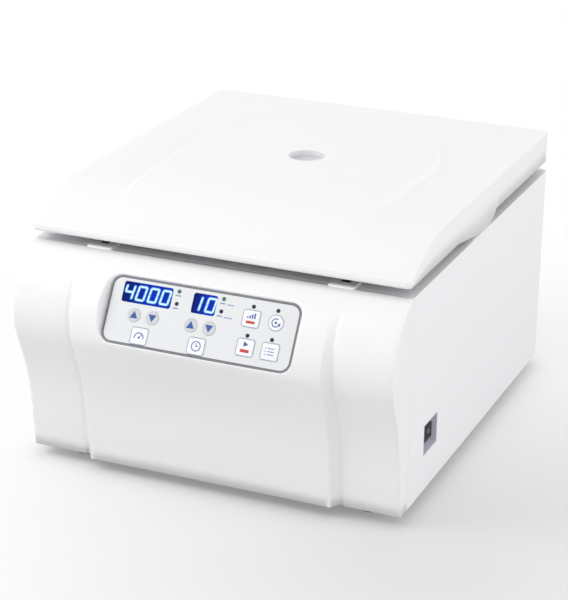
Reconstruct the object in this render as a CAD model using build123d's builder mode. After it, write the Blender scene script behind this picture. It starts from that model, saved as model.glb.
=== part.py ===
from build123d import *

import os
from math import cos, radians, sin, tan

os.makedirs("parts", exist_ok=True)

# Frame: millimetres, X to the right, Y to the back, Z up, origin on the table under the middle.

# Whole machine
body_width = 400.0
body_depth = 494.0
body_top = 231.5
foot_height = 12.0
lid_bottom = 242.0
lid_rim_top = 276.5
lid_plateau_top = 282.0

# Walls and clearances
cabinet_sheet = 2.0
cover_wall = 3.0
deck_thickness = 3.0
lid_wall = 3.0
pan_sheet = 2.0
fit_gap = 0.3
running_gap = 0.05
cut_overrun = 1.0

# Front cover, seen from the side
seam_y = -185.0
brow_y = -188.4
brow_radius = 16.0
brow_turn = 38.4
panel_half = 130.0
panel_facets = 3
panel_side_width = 8.0
panel_side_round = 1.5
panel_side_share = 0.12
groove_width = 1.0
groove_rise_width = 3.0
wing_edge_round = 2.0
outline_back_y = -150.0
latch_pad_width = 28.0
latch_pad_front_y = -189.0
latch_pad_rear_y = -166.0
latch_pad_top = 233.5
latch_pad_corner = 4.0
latch_pad_round = 2.0

# Cabinet and base pan
cabinet_corner = 6.0
pan_flange = 14.0
pan_front_gap = 1.0
vent_x = 105.0
vent_z = 60.0
vent_count = 11
vent_pitch = 8.0
vent_width = 3.2
vent_height = 40.0

# Power switch and its sloped well
switch_y = -123.0
switch_z = 67.0
switch_length = 39.0
switch_height = 32.5
switch_well_depth = 7.5
switch_well_slope = 20.0
well_rim = 1.0
bezel_length = 30.0
bezel_height = 22.0
bezel_corner = 1.5
bezel_proud = 2.0
bezel_back_wall = 2.0
switch_body_length = 27.2
switch_body_height = 19.6
switch_body_depth = 18.0
rocker_radius = 12.3
rocker_height = 15.6
rocker_pivot_drop = 2.5
rocker_rise = 1.5
rocker_depth = 6.0
rocker_tilt = -7.0
rocker_pin_radius = 1.5
rocker_pin_reach = 1.2

# Mains inlet and fuse drawer
inlet_x = -130.0
inlet_z = 60.0
inlet_width = 27.4
inlet_height = 19.6
inlet_gap = 0.3
inlet_flange = 3.0
inlet_flange_thickness = 2.5
inlet_depth = 24.0
socket_width = 24.0
socket_height = 16.5
socket_depth = 16.0
socket_chamfer = 4.5
blade_thickness = 2.0
blade_height = 4.0
blade_places = [(-7.0, -1.0), (0.0, 3.0), (7.0, -1.0)]
drawer_width = 25.0
drawer_height = 9.6
drawer_wall = 0.8
drawer_depth = 22.0
drawer_drop = 18.0

# Operating panel
panel_tilt = 31.0
panel_foot_y = -243.5
panel_foot_z = 159.6
overlay_width = 198.0
overlay_height = 66.0
overlay_corner = 10.5
overlay_thickness = 1.5
well_flare = 20.0
well_reach = 40.0
board_gap = 8.0
board_margin = 4.0
board_thickness = 1.6
standoff_radius = 3.0
standoff_side_inset = 4.0
standoff_end_inset = 3.0
key_travel = 0.5
key_rest_gap = 0.2
key_proud = 0.6
key_thickness = 1.5
key_gap = 0.2
key_edge_round = 0.3
square_key_corner = 2.5
stem_radius = 2.5
stem_clearance = 0.4
button_side = 6.0
button_height = 4.3
led_radius = 1.85
led_proud = 0.2
display_setback = 0.3
display_corner = 2.2

# Chamber, guard ring and motor
rotor_y = 33.0
chamber_radius = 160.0
chamber_wall = 2.0
chamber_floor_z = 104.0
chamber_corner = 22.0
floor_hole_radius = 22.0
flange_margin = 2.0
deck_opening_radius = 162.0
collar_thickness = 4.0
collar_top = 236.0
collar_edge_round = 1.0
guard_radius = 171.0
guard_wall = 3.0
guard_top = 226.5
motor_radius = 55.0
motor_bottom = 34.0
motor_top = 94.0
motor_edge_round = 5.0
motor_boss_radius = 20.0
motor_boss_height = 4.0
motor_plate_side = 190.0
motor_plate_thickness = 4.0
damper_radius = 12.5
damper_offset = 70.0
boot_bore = 12.0
boot_lip = 5.0
boot_lip_thickness = 3.0

# Rotor and buckets
shaft_radius = 8.0
shaft_bottom = 58.0
stud_radius = 5.0
rotor_radius = 98.0
rotor_thickness = 16.0
pivot_radius = 78.0
pivot_z = 185.0
hub_radius = 24.0
hub_bottom = 160.0
bay_width = 72.0
bay_inner = 45.0
bay_corner = 6.0
bay_overrun = 4.0
trunnion_radius = 4.0
trunnion_reach = 6.0
trunnion_root = 2.0
nut_radius = 13.0
nut_height = 15.0
nut_cap = 5.0
nut_grips = 8
nut_grip_radius = 2.5
bucket_radius = 27.5
bucket_wall = 3.0
bucket_above_pivot = 14.0
bucket_below_pivot = 66.0
bucket_bottom_round = 8.0
bucket_count = 4
lug_half_width = 9.0
lug_half_height = 13.0
lug_corner = 3.0
lug_side_gap = 0.4
lug_root_gap = 1.0

# Lid
lid_side_inset = 1.5
lid_front_y = -192.6
lid_lip = 6.6
lid_slope = 23.8
lid_turn_radius = 159.0
lid_edge_round = 2.0
plateau_half_rear = 138.0
plateau_half_front = 129.0
plateau_centre_y = 45.0
plateau_front_y = -170.0
plateau_edge_round = 5.0
port_radius = 19.0
port_depth = 5.0
port_edge_drop = 1.0
window_radius = 17.0
window_thickness = 3.0
window_bore = 15.0
liner_thickness = 2.0
liner_z = 246.0
liner_front_y = -182.0
liner_rear_setback = 21.0
gasket_inner = 157.0
gasket_outer = 170.0
gasket_round = 3.0
tab_depth = 9.5
tab_front_y = -56.0
tab_middle_y = 2.0
tab_flat_end_y = 45.0
tab_rear_y = 64.0
tab_rear_drop = 2.4
lid_screw_radius = 2.0
lid_screw_depth = 14.0
lid_screw_inset = 23.5
lid_screw_rows = [-130.0, 40.0, 210.0]
screw_post_radius = 5.0

# Hinges and latches
hinge_x = 120.0
hinge_setback = 10.0
hinge_pin_radius = 2.5
knuckle_radius = 5.0
knuckle_half = 6.0
ear_half = 14.0
ear_gap = 0.2
bracket_front_reach = 18.0
bracket_rear_reach = 8.0
bracket_base = 2.5
leaf_front_reach = 47.0
leaf_rear_reach = 11.0
leaf_half = 11.0
leaf_thickness = 2.5
latch_x = 128.0
latch_y = -173.0
hook_width = 8.0
hook_thickness = 4.0
hook_bottom = 206.0
hook_window_width = 5.0
hook_window_height = 8.0
hook_foot_width = 14.0
hook_foot_length = 18.0
hook_foot_thickness = 2.5
slot_side_gap = 0.6
slot_front_gap = 2.6
slot_rear_gap = 1.5
block_width = 36.0
block_height = 30.0
block_front_y = -184.5
block_rear_y = -158.0
bolt_z = 214.0
bolt_width = 4.4
bolt_height = 5.0
bolt_length = 34.0
bolt_setback = 2.0

# Drive electronics
drive_x = -70.0
drive_y = -166.0
drive_length = 150.0
drive_width = 42.0
drive_height = 6.0
drive_post = 7.0
drive_block_x = 37.5
capacitor_radius = 12.0
capacitor_height = 30.0
heat_sink_length = 40.0
heat_sink_width = 30.0

# Feet and fasteners
foot_radius = 15.0
foot_inset = 42.0
foot_front_y = -168.0
foot_rear_setback = 42.0
foot_chamfer = 1.5
foot_recess = 5.0
foot_screw_radius = 2.5
foot_screw_head = 2.5
foot_screw_end = 6.0
screw_head_radius = 4.5
cabinet_screw_radius = 2.0
cabinet_screw_count = 4
cabinet_screw_pitch = 100.0
cabinet_screw_length = 10.0

# Places worked out from the driving sizes
half_width = body_width / 2
rear_y = body_depth / 2
pan_top = foot_height + pan_sheet
pan_half = half_width - cabinet_sheet
overlay_mid = overlay_height / 2
standoff_span = overlay_width - 2 * standoff_side_inset
standoff_rise = overlay_height - 2 * standoff_end_inset
deck_under = body_top - deck_thickness
cavity_half = half_width - cover_wall
panel_plane = Plane(
    origin=(0, panel_foot_y, panel_foot_z),
    x_dir=(1, 0, 0),
    z_dir=(0, -cos(radians(panel_tilt)), sin(radians(panel_tilt))),
)
well_floor = -overlay_thickness
well_back = well_floor - cover_wall
board_face = well_back - board_gap
board_back = board_face - board_thickness
liner_top = liner_z + liner_thickness
hinge_z = lid_bottom
hinge_y = rear_y - hinge_setback
bracket_front_y = hinge_y - bracket_front_reach
bracket_rear_y = hinge_y - bracket_rear_reach
leaf_front_y = hinge_y - leaf_front_reach
leaf_wide_rear_y = hinge_y - leaf_rear_reach
liner_rear_y = rear_y - liner_rear_setback
lid_width = body_width - 2 * lid_side_inset
lid_half = lid_width / 2
lid_screw_x = lid_half - lid_screw_inset
foot_x = half_width - foot_inset
foot_rear_y = rear_y - foot_rear_setback
hinge_rise = lid_bottom - body_top
rotor_axis_point = (0, rotor_y)
foot_places = {
    "foot_front_left": (-foot_x, foot_front_y),
    "foot_front_right": (foot_x, foot_front_y),
    "foot_rear_left": (-foot_x, foot_rear_y),
    "foot_rear_right": (foot_x, foot_rear_y),
}

# Each outline of the front is a brow, a straight shoulder, a bulge, a nose, a slope, a hollow fall and a
# straight foot; "front" is how far forward its nose stands, and the brow is the same for all of them
knee = {"knee_z": 122.0, "foot_lean": 6.0}
panel_shape = {"front": -rear_y, "bulge": 50.5, "nose": 27.0, "lean": 24.0, "fall": 180.0} | knee
panel_edge_shape = {"front": -242.6, "bulge": 68.3, "nose": 33.5, "lean": 21.0, "fall": 245.0} | knee
wing_shape = {"front": -235.5, "bulge": 69.3, "nose": 60.0, "lean": 23.0, "fall": 200.0} | knee
groove_shape = wing_shape | {"front": -233.8, "nose": 66.0}

# Displays: name, middle across, middle up the panel, width, height
displays = [
    ("display_speed", -60.3, 51.4, 52.0, 20.0),
    ("display_time", 0.25, 51.4, 24.7, 19.5),
]
# Indicator lamps: across, up the panel
lamps = [
    (-28.0, 59.6),
    (-28.0, 47.4),
    (19.0, 59.6),
    (19.0, 47.4),
    (50.6, 57.1),
    (75.8, 57.1),
    (50.6, 29.0),
    (75.8, 29.0),
]
# Keys: name, across, up the panel, width, height; a height of 0 makes a round key
keys = [
    ("key_speed_up", -69.2, 29.7, 13.4, 0.0),
    ("key_speed_down", -49.8, 29.7, 13.4, 0.0),
    ("key_time_up", -8.8, 29.4, 13.4, 0.0),
    ("key_time_down", 10.4, 29.4, 13.4, 0.0),
    ("key_speed_mode", -59.1, 10.4, 18.0, 17.0),
    ("key_time_mode", 1.4, 10.4, 18.0, 17.0),
    ("key_soft_stop", 50.6, 45.4, 18.0, 17.0),
    ("key_quick_spin", 76.1, 45.4, 15.8, 0.0),
    ("key_start_stop", 50.9, 17.5, 18.0, 17.0),
    ("key_program", 76.3, 17.5, 18.0, 17.0),
]


def save(piece, name):
    piece.part.label = name
    export_step(piece.part, f"parts/{name}.step")


def between(first, second, share):
    """Outline values a share of the way from one outline to another."""
    return {key: first[key] + (second[key] - first[key]) * share for key in first}


def shoulder_length(shape):
    """Length of the straight shoulder that brings the nose as far forward as the outline says."""
    turn = radians(brow_turn)
    brow_end_y = brow_y - brow_radius * sin(turn)
    return (brow_end_y - shape["front"] - shape["bulge"] * (1 - sin(turn))) / cos(turn)


def slope_length(shape):
    """Length of the slope between the nose and the start of the hollow fall."""
    turn = radians(brow_turn)
    lean = radians(shape["lean"])
    brow_end_z = body_top - brow_radius * (1 - cos(turn))
    front_z = brow_end_z - shoulder_length(shape) * sin(turn) - shape["bulge"] * cos(turn)
    return (front_z - shape["nose"] * sin(lean) - shape["knee_z"]) / cos(lean)


def foot_y(shape):
    """How far back the outline stands at the bottom edge."""
    lean = radians(shape["lean"])
    foot_lean = radians(shape["foot_lean"])
    knee_y = shape["front"] + shape["nose"] * (1 - cos(lean)) + slope_length(shape) * sin(lean)
    fall_y = knee_y + shape["fall"] * (cos(foot_lean) - cos(lean))
    fall_z = shape["knee_z"] - shape["fall"] * (sin(lean) - sin(foot_lean))
    return fall_y + (fall_z - foot_height) * tan(foot_lean)


def front_outline(shape, x, inset=0.0, back_y=outline_back_y, bottom=foot_height):
    """Side view of the front at one place across, set inwards for the hollow behind it."""
    turn_back = shape["lean"] - shape["foot_lean"]
    with BuildSketch(Plane.YZ.offset(x)) as outline:
        with BuildLine():
            start = (brow_y, body_top - inset)
            top = Line((back_y, body_top - inset), start)
            brow = JernArc(start, (-1, 0), brow_radius - inset, brow_turn)
            shoulder = PolarLine(brow @ 1, shoulder_length(shape), direction=brow % 1)
            bulge = JernArc(shoulder @ 1, shoulder % 1, shape["bulge"] - inset, 90 - brow_turn)
            nose = JernArc(bulge @ 1, bulge % 1, shape["nose"] - inset, shape["lean"])
            slope = PolarLine(nose @ 1, slope_length(shape), direction=nose % 1)
            fall = JernArc(slope @ 1, slope % 1, shape["fall"] + inset, -turn_back)
            drop = (fall @ 1).Y - bottom
            foot = Line(fall @ 1, ((fall @ 1).X + drop * tan(radians(shape["foot_lean"])), bottom))
            Polyline(foot @ 1, (back_y, bottom), top @ 0)
        make_face()
    return outline.sketch


def front_stations(inset):
    """Places across the right half with their outlines: crowned panel, its sloped side, groove and wing."""
    stations = []
    for step in range(panel_facets + 1):
        share = step / panel_facets
        stations.append((share * (panel_half - inset), between(panel_shape, panel_edge_shape, share**2)))
    side_foot = panel_half + panel_side_width - inset
    for x, share in (
        (panel_half + panel_side_round - inset, panel_side_share),
        (side_foot - panel_side_round, 1 - panel_side_share),
        (side_foot, 1.0),
    ):
        stations.append((x, between(panel_edge_shape, groove_shape, share)))
    rise_start = panel_half + panel_side_width + groove_width + inset
    stations.append((rise_start, groove_shape))
    stations.append((rise_start + groove_rise_width, wing_shape))
    stations.append((half_width - inset, wing_shape))
    return stations


def add_right_front(inset, bottom, mode):
    """Right half of the front, drawn in straight steps from one outline to the next."""
    stations = front_stations(inset)
    for (near_x, near_shape), (far_x, far_shape) in zip(stations, stations[1:]):
        near = front_outline(near_shape, near_x, inset, bottom=bottom)
        far = front_outline(far_shape, far_x, inset, bottom=bottom)
        loft([near, far], ruled=True, mode=mode)


def key_outline(width, height, growth):
    """Round or rounded-square key shape, grown all round by a clearance."""
    with BuildSketch() as shape:
        if height == 0:
            Circle(width / 2 + growth)
        else:
            RectangleRounded(width + 2 * growth, height + 2 * growth, square_key_corner + growth)
    return shape.sketch


# Base pan: a flat steel tray with turned-up sides
pan_front_y = foot_y(groove_shape) + cover_wall + pan_front_gap
pan_rear_y = rear_y - cabinet_sheet
cabinet_screw_z = pan_top + pan_flange / 2
with BuildPart() as base_pan:
    with BuildSketch(Plane.XY.offset(foot_height)) as pan_floor:
        with Locations((0, (seam_y + pan_rear_y) / 2)):
            Rectangle(2 * pan_half, pan_rear_y - seam_y)
        fillet(pan_floor.vertices().group_by(Axis.Y)[-1], cabinet_corner - cabinet_sheet)
        with Locations((0, (pan_front_y + seam_y) / 2)):
            Rectangle(2 * cavity_half, seam_y - pan_front_y)
    extrude(amount=pan_sheet)
    with Locations((0, pan_rear_y - pan_sheet / 2, pan_top)):
        Box(
            2 * (pan_half - cabinet_corner),
            pan_sheet,
            pan_flange,
            align=(Align.CENTER, Align.CENTER, Align.MIN),
        )
    side_rear_y = pan_rear_y - cabinet_corner
    for side in (-1, 1):
        with Locations((side * (pan_half - pan_sheet / 2), (seam_y + side_rear_y) / 2, pan_top)):
            Box(
                pan_sheet,
                side_rear_y - seam_y,
                pan_flange,
                align=(Align.CENTER, Align.CENTER, Align.MIN),
            )
    with BuildSketch(Plane.XY.offset(foot_height)):
        with Locations(*foot_places.values()):
            Circle(foot_screw_radius)
    extrude(amount=pan_sheet, mode=Mode.SUBTRACT)
    with BuildSketch(Plane.XZ.offset(-pan_rear_y)):
        with Locations((0, cabinet_screw_z)):
            with GridLocations(cabinet_screw_pitch, 0, cabinet_screw_count, 1):
                Circle(cabinet_screw_radius)
    extrude(amount=pan_sheet, mode=Mode.SUBTRACT)
save(base_pan, "base_pan")

# Cabinet: sheet steel wrapped round both sides and the back
with BuildPart() as cabinet:
    with BuildSketch(Plane.XY.offset(foot_height)) as wrap:
        with Locations((0, (seam_y + rear_y) / 2)):
            Rectangle(body_width, rear_y - seam_y)
        fillet(wrap.vertices().group_by(Axis.Y)[-1], cabinet_corner)
        with BuildSketch(mode=Mode.SUBTRACT) as inside:
            with Locations((0, (seam_y + pan_rear_y) / 2)):
                Rectangle(2 * pan_half, pan_rear_y - seam_y)
            fillet(inside.vertices().group_by(Axis.Y)[-1], cabinet_corner - cabinet_sheet)
    extrude(amount=body_top - foot_height)
    with Locations((half_width - cabinet_sheet / 2, switch_y, switch_z)):
        Box(2 * cabinet_sheet, switch_length, switch_height, mode=Mode.SUBTRACT)
    with BuildSketch(Plane.XZ.offset(-rear_y)):
        with Locations((inlet_x, inlet_z)):
            Rectangle(inlet_width + 2 * inlet_gap, inlet_height + 2 * inlet_gap)
        with Locations((inlet_x, inlet_z - drawer_drop)):
            Rectangle(inlet_width + 2 * inlet_gap, drawer_height + 2 * inlet_gap)
        with Locations((vent_x, vent_z)):
            with GridLocations(vent_pitch, 0, vent_count, 1):
                SlotOverall(vent_height, vent_width, rotation=90)
        with Locations((0, cabinet_screw_z)):
            with GridLocations(cabinet_screw_pitch, 0, cabinet_screw_count, 1):
                Circle(screw_head_radius)
    extrude(amount=cabinet_sheet, mode=Mode.SUBTRACT)
save(cabinet, "cabinet")

# Latch pads: low rounded rises in front of and behind the seam, one round each latch slot
with BuildPart() as latch_pads:
    with BuildSketch(Plane.XY.offset(deck_under)):
        with Locations((0, (latch_pad_front_y + latch_pad_rear_y) / 2)):
            with GridLocations(2 * latch_x, 0, 2, 1):
                RectangleRounded(latch_pad_width, latch_pad_rear_y - latch_pad_front_y, latch_pad_corner)
    extrude(amount=latch_pad_top - deck_under)
    fillet(latch_pads.faces().group_by(Axis.Z)[-1].edges(), latch_pad_round)

with BuildPart() as front_pads:
    add(latch_pads.part)
    split(bisect_by=Plane.XZ.offset(-seam_y), keep=Keep.TOP)

with BuildPart() as rear_pads:
    add(latch_pads.part)
    split(bisect_by=Plane.XZ.offset(-seam_y), keep=Keep.BOTTOM)

# Front cover: one moulding with a proud middle panel between two grooved wings
hollow_bottom = foot_height - cut_overrun
with BuildPart() as well_block:
    add_right_front(0.0, foot_height, Mode.ADD)
    mirror(about=Plane.YZ)
    with BuildSketch(panel_plane.offset(well_back)):
        with Locations((0, overlay_mid)):
            RectangleRounded(
                overlay_width + 2 * (fit_gap + cover_wall),
                overlay_height + 2 * (fit_gap + cover_wall),
                overlay_corner + fit_gap + cover_wall,
            )
    extrude(amount=well_reach, taper=-well_flare, mode=Mode.INTERSECT)

with BuildPart() as front_cover:
    add_right_front(0.0, foot_height, Mode.ADD)
    wing_side = front_cover.faces().sort_by(Axis.X)[-1]
    fillet(wing_side.edges().filter_by(GeomType.CIRCLE), wing_edge_round)
    add_right_front(cover_wall, hollow_bottom, Mode.SUBTRACT)
    split(bisect_by=Plane.XZ.offset(-seam_y), keep=Keep.TOP)
    mirror(about=Plane.YZ)
    add(front_pads.part)
    add(well_block.part)
    with BuildSketch(panel_plane.offset(well_floor)):
        with Locations((0, overlay_mid)):
            RectangleRounded(
                overlay_width + 2 * fit_gap,
                overlay_height + 2 * fit_gap,
                overlay_corner + fit_gap,
            )
    extrude(amount=well_reach, taper=-well_flare, mode=Mode.SUBTRACT)
    with BuildSketch(panel_plane.offset(well_floor)):
        for _, across, up, width, height in displays:
            with Locations((across, up)):
                RectangleRounded(width + 2 * fit_gap, height + 2 * fit_gap, display_corner + fit_gap)
        for across, up in lamps:
            with Locations((across, up)):
                Circle(led_radius + key_gap)
        for _, across, up, width, height in keys:
            with Locations((across, up)):
                Circle(stem_radius + stem_clearance)
    extrude(amount=-cover_wall, mode=Mode.SUBTRACT)
    with BuildSketch(panel_plane.offset(well_back)):
        with Locations((0, overlay_mid)):
            with GridLocations(standoff_span, standoff_rise, 2, 2):
                Circle(standoff_radius)
    extrude(amount=-board_gap)
save(front_cover, "front_cover")

# Operating panel: overlay, displays, lamps, keys and the board behind them
with BuildPart() as control_overlay:
    with BuildSketch(panel_plane.offset(well_floor)):
        with Locations((0, overlay_mid)):
            RectangleRounded(overlay_width, overlay_height, overlay_corner)
        for _, across, up, width, height in displays:
            with Locations((across, up)):
                RectangleRounded(
                    width + 2 * key_gap,
                    height + 2 * key_gap,
                    display_corner + key_gap,
                    mode=Mode.SUBTRACT,
                )
        for across, up in lamps:
            with Locations((across, up)):
                Circle(led_radius + key_gap, mode=Mode.SUBTRACT)
        for _, across, up, width, height in keys:
            with Locations((across, up)):
                add(key_outline(width, height, key_gap), mode=Mode.SUBTRACT)
    extrude(amount=overlay_thickness)
save(control_overlay, "control_overlay")

for name, across, up, width, height in displays:
    with BuildPart() as display:
        with BuildSketch(panel_plane.offset(board_face)):
            with Locations((across, up)):
                RectangleRounded(width, height, display_corner)
        extrude(amount=-board_face - display_setback)
    save(display, name)

with BuildPart() as indicator_leds:
    with BuildSketch(panel_plane.offset(board_face)):
        for across, up in lamps:
            with Locations((across, up)):
                Circle(led_radius)
    extrude(amount=-board_face + led_proud)
save(indicator_leds, "indicator_leds")

cap_back = key_proud - key_thickness
stem_end = board_face + button_height + key_travel + key_rest_gap
with BuildPart() as control_board:
    with BuildSketch(panel_plane.offset(board_back)):
        with Locations((0, overlay_mid)):
            RectangleRounded(overlay_width + board_margin, overlay_height + board_margin, standoff_radius)
    extrude(amount=board_thickness)
    with BuildSketch(panel_plane.offset(board_face)):
        for _, across, up, width, height in keys:
            with Locations((across, up)):
                Rectangle(button_side, button_side)
    extrude(amount=button_height)
save(control_board, "control_board")

for name, across, up, width, height in keys:
    with BuildPart() as key:
        with BuildSketch(panel_plane.offset(cap_back)):
            with Locations((across, up)):
                add(key_outline(width, height, 0))
        extrude(amount=key_thickness)
        cap_top = key.faces().sort_by(Axis(panel_plane.origin, panel_plane.z_dir))[-1]
        fillet(cap_top.edges(), key_edge_round)
        with BuildSketch(panel_plane.offset(cap_back)):
            with Locations((across, up)):
                Circle(stem_radius)
        extrude(amount=stem_end - cap_back)
    save(key, name)

# Top deck: closes the body round the chamber mouth, with a collar and two latch pads
slot_width = hook_width + 2 * slot_side_gap
slot_front_y = latch_y - hook_thickness / 2 - slot_front_gap
slot_rear_y = latch_y + hook_thickness / 2 + slot_rear_gap
with BuildPart() as top_deck:
    with BuildSketch(Plane.XY.offset(deck_under)) as deck_plate:
        with Locations((0, (seam_y + pan_rear_y) / 2)):
            Rectangle(2 * pan_half, pan_rear_y - seam_y)
        fillet(deck_plate.vertices().group_by(Axis.Y)[-1], cabinet_corner - cabinet_sheet)
    extrude(amount=deck_thickness)
    with BuildSketch(Plane.XY.offset(body_top)):
        with Locations(rotor_axis_point):
            Circle(deck_opening_radius + collar_thickness)
    extrude(amount=collar_top - body_top)
    collar_edge = top_deck.faces().sort_by(Axis.Z)[-1].edges()
    fillet(collar_edge, collar_edge_round)
    add(rear_pads.part)
    with BuildSketch(Plane.XY.offset(deck_under)):
        with Locations(rotor_axis_point):
            Circle(deck_opening_radius)
        for side in (-1, 1):
            with Locations((side * latch_x, (slot_front_y + slot_rear_y) / 2)):
                Rectangle(slot_width, slot_rear_y - slot_front_y)
    extrude(amount=collar_top - deck_under, mode=Mode.SUBTRACT)
save(top_deck, "top_deck")

# Chamber: a spun steel bowl inside a thick guard ring
rotor_axis = Axis((0, rotor_y, 0), (0, 0, 1))
rotor_side = Plane.XZ.offset(-rotor_y)
bowl_outer = chamber_radius + chamber_wall
with BuildPart() as chamber_bowl:
    with BuildSketch(rotor_side):
        with BuildLine():
            FilletPolyline(
                (floor_hole_radius, chamber_floor_z),
                (bowl_outer, chamber_floor_z),
                (bowl_outer, guard_top),
                radius=chamber_corner + chamber_wall,
            )
            Polyline(
                (bowl_outer, guard_top),
                (guard_radius + guard_wall + flange_margin, guard_top),
                (guard_radius + guard_wall + flange_margin, deck_under),
                (chamber_radius, deck_under),
            )
            FilletPolyline(
                (chamber_radius, deck_under),
                (chamber_radius, chamber_floor_z + chamber_wall),
                (floor_hole_radius, chamber_floor_z + chamber_wall),
                radius=chamber_corner,
            )
            Line((floor_hole_radius, chamber_floor_z + chamber_wall), (floor_hole_radius, chamber_floor_z))
        make_face()
    revolve(axis=rotor_axis)
save(chamber_bowl, "chamber_bowl")

with BuildPart() as guard_ring:
    with BuildSketch(Plane.XY.offset(pan_top)):
        with Locations(rotor_axis_point):
            Circle(guard_radius + guard_wall)
            Circle(guard_radius, mode=Mode.SUBTRACT)
    extrude(amount=guard_top - pan_top)
save(guard_ring, "guard_ring")

# Motor on its plate, held by four rubber dampers
with BuildPart() as motor_plate:
    with BuildSketch(Plane.XY.offset(motor_bottom - motor_plate_thickness)):
        with Locations(rotor_axis_point):
            RectangleRounded(motor_plate_side, motor_plate_side, damper_radius)
    extrude(amount=motor_plate_thickness)
save(motor_plate, "motor_plate")

with BuildPart() as motor_dampers:
    with BuildSketch(Plane.XY.offset(pan_top)):
        with Locations(rotor_axis_point):
            with GridLocations(2 * damper_offset, 2 * damper_offset, 2, 2):
                Circle(damper_radius)
    extrude(amount=motor_bottom - motor_plate_thickness - pan_top)
save(motor_dampers, "motor_dampers")

boss_top_z = motor_top + motor_boss_height
with BuildPart() as motor_housing:
    with BuildSketch(Plane.XY.offset(motor_bottom)):
        with Locations(rotor_axis_point):
            Circle(motor_radius)
    extrude(amount=motor_top - motor_bottom)
    fillet(motor_housing.faces().sort_by(Axis.Z)[-1].edges(), motor_edge_round)
    with BuildSketch(Plane.XY.offset(motor_top)):
        with Locations(rotor_axis_point):
            Circle(motor_boss_radius)
    extrude(amount=motor_boss_height)
    with BuildSketch(Plane.XY.offset(boss_top_z)):
        with Locations(rotor_axis_point):
            Circle(shaft_radius + running_gap)
    extrude(amount=shaft_bottom - running_gap - boss_top_z, mode=Mode.SUBTRACT)
save(motor_housing, "motor_housing")

boot_flange_z = chamber_floor_z + chamber_wall
with BuildPart() as shaft_boot:
    with BuildSketch(rotor_side):
        with BuildLine():
            Polyline(
                (boot_bore, boss_top_z),
                (motor_boss_radius, boss_top_z),
                (motor_boss_radius, boot_flange_z - chamber_wall),
                (floor_hole_radius - fit_gap, boot_flange_z - chamber_wall),
                (floor_hole_radius - fit_gap, boot_flange_z),
                (floor_hole_radius + boot_lip, boot_flange_z),
                (floor_hole_radius + boot_lip, boot_flange_z + boot_lip_thickness),
                (boot_bore, boot_flange_z + boot_lip_thickness),
                close=True,
            )
        make_face()
    revolve(axis=rotor_axis)
save(shaft_boot, "shaft_boot")

# Rotor: shaft, head with four open bays and trunnion pins, and the nut on top
rotor_top = pivot_z + rotor_thickness / 2
rotor_under = pivot_z - rotor_thickness / 2
stud_top = rotor_top + nut_height - nut_cap
with BuildPart() as motor_shaft:
    with BuildSketch(Plane.XY.offset(shaft_bottom)):
        with Locations(rotor_axis_point):
            Circle(shaft_radius)
    extrude(amount=rotor_top - shaft_bottom)
    with BuildSketch(Plane.XY.offset(rotor_top)):
        with Locations(rotor_axis_point):
            Circle(stud_radius)
    extrude(amount=stud_top - rotor_top)
save(motor_shaft, "motor_shaft")


def pivot_plane(number):
    """Plane on one bucket's pivot: its x points outwards, its z along the trunnion pins."""
    angle = radians(360 * number / bucket_count)
    return Plane(
        origin=(pivot_radius * cos(angle), rotor_y + pivot_radius * sin(angle), pivot_z),
        x_dir=(cos(angle), sin(angle), 0),
        z_dir=(-sin(angle), cos(angle), 0),
    )


bay_length = rotor_radius - bay_inner + bay_overrun
with BuildPart() as rotor_head:
    with BuildSketch(Plane.XY.offset(rotor_under)) as head_plate:
        with Locations(rotor_axis_point):
            Circle(rotor_radius)
            with PolarLocations(bay_inner + bay_length / 2, bucket_count):
                Rectangle(bay_length, bay_width, mode=Mode.SUBTRACT)
        near_first = head_plate.vertices().sort_by_distance((0, rotor_y, rotor_under))
        fillet(near_first[: 2 * bucket_count], bay_corner)
    extrude(amount=rotor_thickness)
    with BuildSketch(Plane.XY.offset(hub_bottom)):
        with Locations(rotor_axis_point):
            Circle(hub_radius)
    extrude(amount=rotor_under - hub_bottom)
    for number in range(bucket_count):
        for side in (-1, 1):
            with BuildSketch(pivot_plane(number).offset(side * (bay_width / 2 - trunnion_reach))):
                Circle(trunnion_radius)
            extrude(amount=side * (trunnion_reach + trunnion_root))
    with BuildSketch(Plane.XY.offset(hub_bottom)):
        with Locations(rotor_axis_point):
            Circle(shaft_radius)
    extrude(amount=rotor_top - hub_bottom, mode=Mode.SUBTRACT)
save(rotor_head, "rotor_head")

with BuildPart() as rotor_nut:
    with BuildSketch(Plane.XY.offset(rotor_top)):
        with Locations(rotor_axis_point):
            Circle(nut_radius)
            with PolarLocations(nut_radius + nut_grip_radius / 2, nut_grips):
                Circle(nut_grip_radius, mode=Mode.SUBTRACT)
    extrude(amount=nut_height)
    with BuildSketch(Plane.XY.offset(rotor_top)):
        with Locations(rotor_axis_point):
            Circle(stud_radius)
    extrude(amount=stud_top - rotor_top, mode=Mode.SUBTRACT)
save(rotor_nut, "rotor_nut")

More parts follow.
